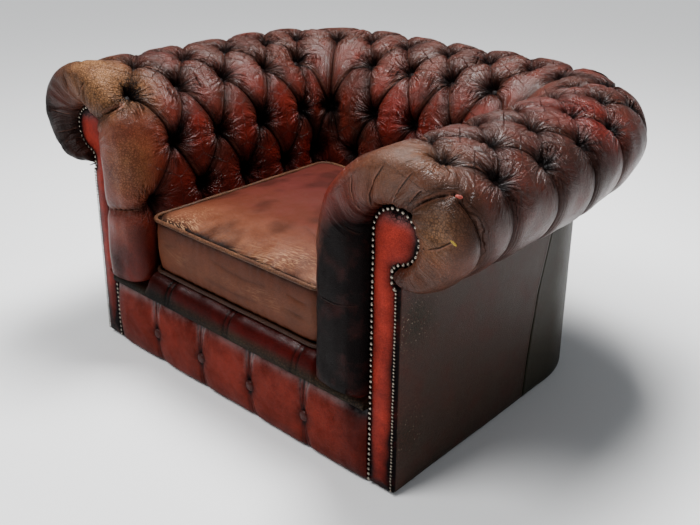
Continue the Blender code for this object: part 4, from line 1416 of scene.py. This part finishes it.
def make_border():
    """The padded front border: five full panels between pleats, each pleat drawn in by its button."""
    steps = 64
    across = np.linspace(-BORDER_HALF, BORDER_HALF, 5 * steps + 1)
    up = np.linspace(BASE_Z, BORDER_TOP, 53)
    x, z = np.meshgrid(across, up, indexing="ij")
    height = (z - BASE_Z) / (BORDER_TOP - BASE_Z)
    depth = 0.0105 + 0.0125 * np.sin(math.pi * unit(height)) ** 0.55
    dark, fold, sheen = np.zeros_like(x), np.zeros_like(x), np.zeros_like(x)
    for i, middle in enumerate(pleat_places()):
        lean = middle + 0.004 * jitter(i, 1) * (z - BORDER_BUTTON_Z) / 0.07
        pleat = x - lean
        depth -= 0.0038 * fade(np.abs(pleat), 0.014) * (0.75 + 0.25 * np.sin(math.pi * height))
        # Each pleat's three lines, pressed in and drawn dark as painted shade lines
        for offset, deep in ((0.0, 0.0024), (0.0065, 0.0020), (-0.0055, 0.0016)):
            shift = offset * (0.3 + np.abs(z - BORDER_BUTTON_Z) / 0.05)
            line = fade(np.abs(pleat - shift), 0.0016)
            depth -= deep * line
            fold = np.maximum(fold, line * (0.75 if offset == 0 else 0.65))
        r = np.hypot(x - middle, z - BORDER_BUTTON_Z)
        angle = np.arctan2(z - BORDER_BUTTON_Z, x - middle)
        rays = np.cos(9 * angle + i) + 0.7 * np.cos(14 * angle + 2 * i)
        depth += 0.0007 * rays * bell(r, 0.020) - 0.0036 * bell(r, 0.014)
        # Painted shade in each button's pit and along each pleat
        dark += 0.85 * bell(r, 0.018) + 0.22 * fade(np.abs(pleat), 0.007)
        sheen += 0.8 * bell(np.abs(pleat) - 0.009, 0.005) * climb(z - BORDER_BUTTON_Z - 0.02, 0.03)
    solid = np.stack([x, np.full_like(x, FRONT - GAP), z], -1)
    depth *= 1 - 0.5 * fade(BORDER_HALF - np.abs(x), 0.012)
    depth += 0.0012 * swell(solid, 16, 2) + 0.0005 * swell(solid, 50, 3)
    depth = np.maximum(depth, 0.0012)
    front = solid - np.array((0, 1, 0)) * depth[..., None]
    bottom, top = front[:, :1].copy(), front[:, -1:].copy()
    bottom[..., 1], top[..., 1] = FRONT - GAP, FRONT - GAP
    whole = np.concatenate([bottom, front, top, bottom], axis=1)
    obj = grid_mesh("front_border_leather", whole)
    # Darker toward the top edge under the lip, the bottom edge and both ends
    edge = 1.1 * fade(BORDER_TOP - z, 0.018) + 0.45 * fade(z - BASE_Z, 0.016)
    dark += 0.75 * edge + 0.5 * climb(x - 0.30, 0.06) + 0.35 * climb(-x - 0.35, 0.03)
    tone = np.stack([0.78 + 0.2 * swell(solid, 9, 4), 0.10 * fade(BORDER_TOP - z, 0.008), dark, fold], -1)
    close_ends(obj, whole)
    shine = 0.55 * bell(BORDER_TOP - z - 0.010, 0.009) + 0.10 + sheen
    repaint(obj, whole, tone=round_the_back(tone), polish=round_the_back(shine))
    dress(obj, border_leather, "leather_border", "front_border")
    middle_row = depth[:, np.argmin(np.abs(up - BORDER_BUTTON_Z))]
    for i, middle in enumerate(pleat_places()):
        button = flat_ball(BORDER_BUTTON_R, 0.48, segments=20, ring_count=10)
        deep = float(np.interp(middle, across, middle_row))
        spot = Matrix.Translation((middle, FRONT - GAP - deep - 0.0052, BORDER_BUTTON_Z))
        knob = copies(f"border_button_leather_{i + 1}", button, [spot @ Matrix.Rotation(math.pi / 2, 4, "X")])
        paint(knob, "tone", np.tile((0.6, 0.0, 0.15, 0.0), (len(knob.data.vertices), 1)))
        dress(knob, button_leather, "leather_button", f"border_button_{i + 1}")


def round_the_back(values):
    """A border's values, carried on round its top, its flat back and its bottom."""
    return np.concatenate([values[:, :1], values, values[:, -1:], values[:, :1]], axis=1)


def close_ends(obj, rings):
    """Closes the first and the last ring of a lofted grid with one face each."""
    count, around = rings.shape[:2]
    edit = bmesh.new()
    edit.from_mesh(obj.data)
    edit.verts.ensure_lookup_table()
    for first in (0, (count - 1) * around):
        edit.faces.new([edit.verts[first + k] for k in range(around - 1)])
    bmesh.ops.remove_doubles(edit, verts=edit.verts, dist=1e-6)
    bmesh.ops.recalc_face_normals(edit, faces=edit.faces)
    edit.to_mesh(obj.data)
    edit.free()


def make_lip():
    """The rolled lip under the cushion's front, with pairs of pleats where its leather is taken in."""
    across = np.linspace(-BORDER_HALF, BORDER_HALF, 301)
    turns = np.linspace(0, math.pi, 33)
    x, a = np.meshgrid(across, turns, indexing="ij")
    share = ease(climb(np.abs(x) - SEAT_INSIDE + 0.012, 0.014))
    high = DECK_TOP - 0.001 + (LIP_END_TOP - DECK_TOP) * share
    low = BORDER_TOP + GAP
    middle, reach = (LIP_FRONT + LIP_BACK) / 2, (LIP_BACK - LIP_FRONT) / 2
    lift, fold = np.zeros_like(x), np.zeros_like(x)
    for place in (-0.176, 0.011, 0.207):
        for offset in (-0.006, 0.007):
            line = fade(np.abs(x - place - offset - 0.003 * (a - 1.5)), 0.0018)
            lift -= 0.0016 * line
            fold = np.maximum(fold, 0.85 * line)
        lift -= 0.0026 * bell(x - place, 0.016)
    z = low + (high - low) * np.sin(a) ** 0.7
    solid = np.stack([x, FRONT + middle - reach * np.cos(a), z], -1)
    lift += 0.0016 * swell(solid, 12, 6) + 0.0007 * swell(solid, 40, 7)
    out = np.stack([0 * x, -np.cos(a), np.sin(a)], -1)
    whole = solid + out * (lift * np.sin(a) ** 0.5)[..., None]
    whole = looped(whole)
    obj = grid_mesh("deck_lip_leather", whole)
    close_ends(obj, whole)
    # The lower side, turned down toward the border, is painted olive and less red as painted shade; the pleat
    # lines are painted shade lines; dirt in blotches, darker on the left half
    painted_shade_below = climb(0.185 - z, 0.02)
    dark = 0.15 + 0.9 * unit(swell(solid, 9, 9)) + 0.25 * climb(-x, 0.1)
    tone = np.stack([0.55 - 0.3 * painted_shade_below + 0.2 * swell(solid, 10, 8), 0.9 * painted_shade_below, unit(dark), fold], -1)
    shine = 0.80 * bell(a - 1.15, 0.22)
    repaint(obj, whole, tone=looped(tone), polish=looped(shine))
    dress(obj, lip_leather, "leather_border", "deck_lip")


def repaint(obj, points, **layers):
    """Paints a mesh whose doubles were merged, from the values at the nearest grid point."""
    tree = search_tree(points.reshape(-1, 3))
    nearest = [tree.find(v.co)[1] for v in obj.data.vertices]
    for name, values in layers.items():
        flat = values.reshape(points.shape[0] * points.shape[1], -1).squeeze()
        paint(obj, name, unit(flat[nearest]))


# Seat cushion


def cushion_ring(inset, z, count=200):
    """The cushion's plan outline drawn in by inset, as evenly spaced points."""
    half = CUSHION_HALF - inset
    front, back = FRONT + CUSHION_FRONT + inset, FRONT + CUSHION_BACK - inset
    r = min(CUSHION_CORNER + inset * 0.9, half * 0.92)
    arcs = []
    for x, y, start in (
        (half - r, front + r, -90),
        (half - r, back - r, 0),
        (r - half, back - r, 90),
        (r - half, front + r, 180),
    ):
        turn = np.radians(np.linspace(start, start + 90, 12))
        arcs.append(np.stack([x + r * np.cos(turn), y + r * np.sin(turn)], 1))
    line = spaced(np.vstack(arcs), 2 * (half * 2 + back - front) / count / 1.1, closed=True)
    angle = np.linspace(0, len(line), count, endpoint=False)
    line = np.stack(
        [np.interp(angle, range(len(line) + 1), np.r_[line[:, k], line[0, k]]) for k in (0, 1)], 1
    )
    return np.concatenate([line, np.full((count, 1), z)], 1)


def cushion_shape():
    """Rings (inset, z) of the cushion before it is filled, from its underside to its top."""
    rings = [
        (0.225, CUSHION_LOW - 0.0035),
        (0.12, CUSHION_LOW - 0.0035),
        (0.04, CUSHION_LOW - 0.003),
        (0.012, CUSHION_LOW - 0.001),
    ]
    rings += [
        (0.0045, CUSHION_LOW + 0.001),
        (0.003, CUSHION_LOW + 0.010),
        (0.001, CUSHION_LOW + 0.025),
        (0.000, CUSHION_MIDDLE),
    ]
    rings += [(0.001, CUSHION_HIGH - 0.025), (0.003, CUSHION_HIGH - 0.010), (0.0045, CUSHION_HIGH - 0.001)]
    for inset in (0.010, 0.020, 0.035, 0.060, 0.095, 0.135, 0.18, 0.225):
        crown_z = 0.002 + (CUSHION_CROWN - 0.014) * math.sin(math.pi / 2 * min(inset / 0.215, 1)) ** 0.75
        rings.append((inset, CUSHION_HIGH + crown_z))
    return rings


def seam_distance(points):
    """Distance of each point to the cushion's two piped seams."""
    flat = edge_distance(points[:, :2], cushion_ring(0.002, 0)[:, :2])
    rise = np.minimum(np.abs(points[:, 2] - CUSHION_HIGH), np.abs(points[:, 2] - CUSHION_LOW))
    return np.hypot(flat, rise)


def make_cushion():
    """The loose cushion: sewn shape, filled by a cloth simulation, then creased and worn."""
    rings = np.stack([cushion_ring(inset, z) for inset, z in cushion_shape()])
    rings = looped(rings)
    obj = grid_mesh("seat_cushion_leather", rings)
    close_ends(obj, rings)
    remesh(obj)
    fill_cushion(obj)
    soften(obj)


def remesh(obj):
    """Lays an even mesh over the cushion, for the cloth simulation."""
    bpy.context.view_layer.objects.active = obj
    modifier = obj.modifiers.new("remesh", "REMESH")
    modifier.mode, modifier.voxel_size, modifier.use_smooth_shade = "VOXEL", CLOTH_STEP, True
    bpy.ops.object.modifier_apply(modifier=modifier.name)


def vertices_of(obj):
    """The points of a mesh as an array (n, 3)."""
    points = np.empty(len(obj.data.vertices) * 3, np.float32)
    obj.data.vertices.foreach_get("co", points)
    return points.reshape(-1, 3).astype(float)


def fill_cushion(obj):
    """Fills the cushion with pressure while its seams and its underside are held."""
    start = vertices_of(obj)
    held = unit(1 - seam_distance(start) / 0.012)
    held = np.where(start[:, 2] < CUSHION_LOW + 0.001, 1.0, held)
    group = obj.vertex_groups.new(name="held")
    for i, weight in enumerate(held):
        group.add([i], float(weight), "REPLACE")
    cloth = obj.modifiers.new("filling", "CLOTH")
    cloth.settings.quality = 6
    cloth.settings.mass = 0.35
    cloth.settings.use_pressure = True
    cloth.settings.uniform_pressure_force = 4
    cloth.settings.effector_weights.gravity = 0
    cloth.settings.vertex_group_mass = "held"
    cloth.settings.tension_stiffness = 25
    cloth.settings.compression_stiffness = 25
    cloth.settings.bending_stiffness = 2
    cloth.collision_settings.use_collision = False
    cloth.point_cache.frame_end = FILL_FRAMES
    scene = bpy.context.scene
    for number in range(1, FILL_FRAMES + 1):
        scene.frame_set(number)
    bpy.context.view_layer.objects.active = obj
    bpy.ops.object.modifier_apply(modifier=cloth.name)
    scene.frame_set(1)
    moved = vertices_of(obj) - start
    size = np.linalg.norm(moved, axis=1, keepdims=True)
    capped = start + moved * np.minimum(1, MOST_FILL / np.maximum(size, 1e-9))
    obj.data.vertices.foreach_set("co", capped.astype(np.float32).ravel())
    smooth = obj.modifiers.new("finer", "SUBSURF")
    smooth.levels = smooth.render_levels = 1
    bpy.ops.object.modifier_apply(modifier=smooth.name)


def soften(obj):
    """Presses the seams in, puckers the leather beside them, and lays the creases of use."""
    points = vertices_of(obj)
    normals = np.empty(len(points) * 3, np.float32)
    obj.data.vertices.foreach_get("normal", normals)
    normals = normals.reshape(-1, 3).astype(float)
    seam = seam_distance(points)
    turn = np.arctan2(points[:, 0], points[:, 1] - FRONT - 0.27)
    top = points[:, 2] > CUSHION_HIGH - 0.002
    pucker = np.cos(58 * turn + 3 * np.sin(9 * turn)) * 0.0008 * fade(seam, 0.018) * climb(seam, 0.004)
    sag = 0.0022 * swell(points, 9, 11) + 0.0010 * swell(points, 26, 12)
    lift = pucker + sag * climb(seam, 0.02) - 0.0022 * bell(seam, 0.004)
    # Painted shade in the pressed seams and along the creases
    fold = 0.55 * bell(seam, 0.005)
    for deep, width, *path in CUSHION_CREASES:
        away, strong, _ = line_distance(points, behind(rounded(path)), normals)
        lift -= deep / 1000 * strong * fade(away, width / 1000)
        fold = np.maximum(fold, 0.30 * strong * fade(away, 0.4 * width / 1000))
    low = points[:, 2] < CUSHION_LOW + 0.002
    lift = np.where(low, 0, lift)
    points += normals * lift[:, None]
    obj.data.vertices.foreach_set("co", points.astype(np.float32).ravel())
    y = (points[:, 1] - FRONT) / 0.53
    rise = (points[:, 2] - CUSHION_LOW) / (CUSHION_HIGH - CUSHION_LOW)
    tan = np.where(top, unit(1.0 - 3.4 * y) * 0.72 + 0.10, 0.10 + 0.30 * bell(rise - 0.45, 0.3))
    red = np.where(top, unit(0.25 + 1.3 * y), 0.25)
    # Dirt in blotches; painted shade beside the top's seams and from its middle to its back, and on the band
    # toward its seams and its back
    worn = 0.65 * np.clip(swell(points, 14, 19) + 0.25 * swell(points, 40, 22), 0, 0.5)
    top_dark = worn + 0.16 + 0.08 * bell(y - 0.30, 0.16) + 0.07 * climb(y - 0.45, 0.3)
    top_dark += 0.60 * fade(np.maximum(seam - 0.004, 0), 0.012)
    side_dark = 0.30 + 0.60 * fade(1 - rise, 0.16) + 0.25 * fade(rise, 0.10)
    dark = np.where(top, top_dark, side_dark) + 0.35 * np.clip(y - 0.05, 0, 0.2) / 0.2 * ~top
    tone = np.stack([red, tan, dark, fold], 1)
    paint(obj, "tone", unit(tone))
    shine = 0.22 * bell(y - 0.10, 0.14) * unit(0.6 + swell(points, 12, 23)) * top
    paint(obj, "polish", shine)
    dress(obj, cushion_leather, "leather_cushion", "seat_cushion")


def make_piping(z, node):
    """A worn leather piping on one of the cushion's seams."""
    line = cushion_ring(0.0006, z, 360)
    top = z > CUSHION_MIDDLE
    middle = 1 - np.abs(line[:, 0]) / CUSHION_HALF
    line[:, 2] += 0.0012 * swell(line, 12, 20 + z * 10) - 0.0010 * middle * top
    curve = bpy.data.curves.new(f"{node}_cord", "CURVE")
    curve.dimensions = "3D"
    spline = curve.splines.new("POLY")
    spline.points.add(len(line) - 1)
    spline.points.foreach_set("co", np.c_[line, np.ones(len(line))].ravel())
    spline.use_cyclic_u = True
    curve.bevel_depth = PIPING_R
    curve.bevel_resolution = 3
    tube = new_object(curve.name, curve)
    bpy.ops.object.select_all(action="DESELECT")
    tube.select_set(True)
    bpy.context.view_layer.objects.active = tube
    bpy.ops.object.convert(target="MESH")
    tube = bpy.context.object
    shade_smooth(tube)
    points = vertices_of(tube)
    worn = 0.55 + 0.45 * swell(points, 22, 21)
    none = 0 * worn
    # The bottom cord, under the cushion's bulge, is darker as painted shade, and less rubbed
    tone = np.stack([0.2 + none, worn * (1.0 if top else 0.4), (0.10 if top else 0.55) + none, none], 1)
    paint(tube, "tone", unit(tone))
    dress(tube, piping_leather, "leather_piping", node)


# Outside covers


def seam_u(z):
    """Where the leaning seam between the outside arm and the outside back stands at each height."""
    return np.interp(z, (0.006, 0.077, 0.240, 0.377, 0.415), (0.410, 0.416, 0.438, 0.477, 0.489))


def cover(node, start, stop, side, welt):
    """One outside cover: leather on card, from one line to another along the outside of the frame."""
    heights = np.linspace(BASE_Z, PANEL_TOP, 60)
    share = np.linspace(0, 1, 150)
    t, z = np.meshgrid(share, heights, indexing="ij")
    u = start(z) + (stop(z) - start(z)) * t
    solid = across_line(u, PANEL_OUT, z)
    wave = 0.0009 * swell(solid, 5, 30) + 0.0003 * swell(solid, 22, 31)
    to_seam = np.minimum(np.abs(u - seam_u(z)), np.abs(LINE - u - seam_u(z)))
    wave = wave + welt * bell(to_seam, 0.004) - 0.0006 * bell(to_seam, 0.0012)
    outer = across_line(u, PANEL_OUT + wave, z)
    inner = across_line(u, PANEL_IN + GAP, z)
    whole = looped(np.concatenate([outer, inner[:, ::-1]], axis=1))
    whole[..., 0] *= side
    obj = grid_mesh(f"{node}_leather", whole)
    close_ends(obj, whole)
    red = 0.35 * fade(u, 0.05) + 0.25 * fade(PANEL_TOP - z, 0.05) + 0.15 * swell(solid, 7, 32)
    behind_seam = climb(u - seam_u(z), 0.004) * climb(LINE - u - seam_u(z), 0.004)
    dark = 0.15 + 0.55 * behind_seam + 0.25 * fade(z - BASE_Z, 0.03)
    fold = 0.8 * bell(to_seam, 0.0016)
    scuffs = blots(whole[:, : len(heights)], [(1.0, 45, (436, 45, 330)), (0.8, 45, (436, 20, 110))])
    tone = np.stack([red, scuffs, dark, fold], -1)
    repaint(obj, whole, tone=looped(np.concatenate([tone, tone[:, ::-1]], axis=1)))
    dress(obj, panel_leather, "leather_panel", node)


def make_covers():
    """The two outside arms up to their leaning seams, and the outside back between the seams."""
    for side, sign in (("left", 1), ("right", -1)):
        cover(f"outside_arm_{side}", lambda z: 0 * z, lambda z: seam_u(z) - 0.0004, sign, 0.0006)
    cover("outside_back", seam_u, lambda z: LINE - seam_u(z), 1, 0.0012)


make_pad("arm_pad_left", 0, CORNERS[0], True, -1, LEFT_CREASES, LEFT_MARKS, "inside_arm_left")
right_pad = make_pad("arm_pad_right", 0, CORNERS[0], True, 1, RIGHT_CREASES, RIGHT_MARKS, "inside_arm_right")
make_tear("foam_in_split", right_pad, (560, -36, 536), 0.5, (0.016, 0.005, 0.004), seat_foam)
make_tear("torn_spot", right_pad, (550, -13, 596), 0.3, (0.012, 0.006, 0.003), raw_leather)
make_pad("back_pad", CORNERS[0], CORNERS[1], False, 1, [], BACK_MARKS, "inside_back")
for number, side_name in ((-1, "left"), (1, "right")):
    make_facing(number, f"facing_{side_name}")
    make_nails(number, f"nails_{side_name}")
make_border()
make_lip()
make_cushion()
make_piping(CUSHION_HIGH, "cushion_piping_top")
make_piping(CUSHION_LOW, "cushion_piping_bottom")
make_covers()

FINISHES = {
    "leather_tufted": tufted_leather,
    "leather_facing": facing_leather,
    "leather_panel": panel_leather,
    "leather_border": border_leather,
    "leather_cushion": cushion_leather,
    "leather_piping": piping_leather,
    "leather_button": button_leather,
    "nail_metal": nail_metal,
    "frame_wood": frame_wood,
    "deck_cloth": deck_cloth,
    "dust_cloth": dust_cloth,
    "spring_steel": spring_steel,
    "glide_steel": glide_steel,
}
for part in frame["record"]["subparts"]:
    node = frame["nodes"][part["node"]]
    node.data.materials.clear()
    node.data.materials.append(FINISHES[part["material_slot"]])


# Floor, light and camera


def set_stage():
    """A pale floor under an even, slightly blue sky."""
    bpy.ops.mesh.primitive_plane_add(size=24, location=(0, 0, -0.0005))
    floor = bpy.context.object
    floor.data.transform(floor.matrix_world)
    floor.location = (0, 0, 0)
    material, _, shader = new_material("pale_floor")
    shader.inputs["Base Color"].default_value = (0.88, 0.88, 0.88, 1)
    shader.inputs["Roughness"].default_value = 0.8
    floor.data.materials.append(material)
    world = bpy.data.worlds.new("studio")
    world.use_nodes = True
    world.node_tree.nodes["Background"].inputs["Color"].default_value = (0.86, 0.93, 1.0, 1)
    world.node_tree.nodes["Background"].inputs["Strength"].default_value = 0.21
    bpy.context.scene.world = world


def add_light(name, place, target, size, power):
    """A square lamp, turned to its target."""
    data = bpy.data.lights.new(name, "AREA")
    data.energy = power
    data.size = size
    light = new_object(name, data)
    light.location = place
    light.rotation_euler = (Vector(target) - Vector(place)).to_track_quat("-Z", "Y").to_euler()


def add_sun(name, toward, angle, strength):
    """A wide soft light from far away, so that the floor is lit evenly."""
    data = bpy.data.lights.new(name, "SUN")
    data.energy = strength
    data.angle = angle
    light = new_object(name, data)
    light.rotation_euler = Vector(toward).to_track_quat("Z", "Y").to_euler()


def set_camera():
    """The camera, high on the front right."""
    azimuth, elevation, roll = math.radians(41.55), math.radians(20.36), math.radians(0.80)
    level = math.cos(elevation)
    back = Vector((math.sin(azimuth) * level, -math.cos(azimuth) * level, math.sin(elevation)))
    target = Vector((0, FRONT + 0.4, 0.35))
    data = bpy.data.cameras.new("camera")
    data.sensor_width = 36
    data.lens = 46.07
    data.shift_x = -0.0209
    data.shift_y = -0.0999
    camera = new_object("camera", data)
    camera.location = target + back * 2.012
    camera.rotation_euler = (upright(back) @ Matrix.Rotation(roll, 4, "Z")).to_euler()
    bpy.context.scene.camera = camera


set_stage()
add_sun("overhead", (-0.35, -0.60, 1.0), math.radians(26), 2.8)
add_light("top", (-0.25, 0.35, 2.5), (0, 0, 0.4), 1.0, 150)
add_light("fill", (2.8, -0.9, 1.5), (0, 0, 0.3), 1.6, 8)
set_camera()
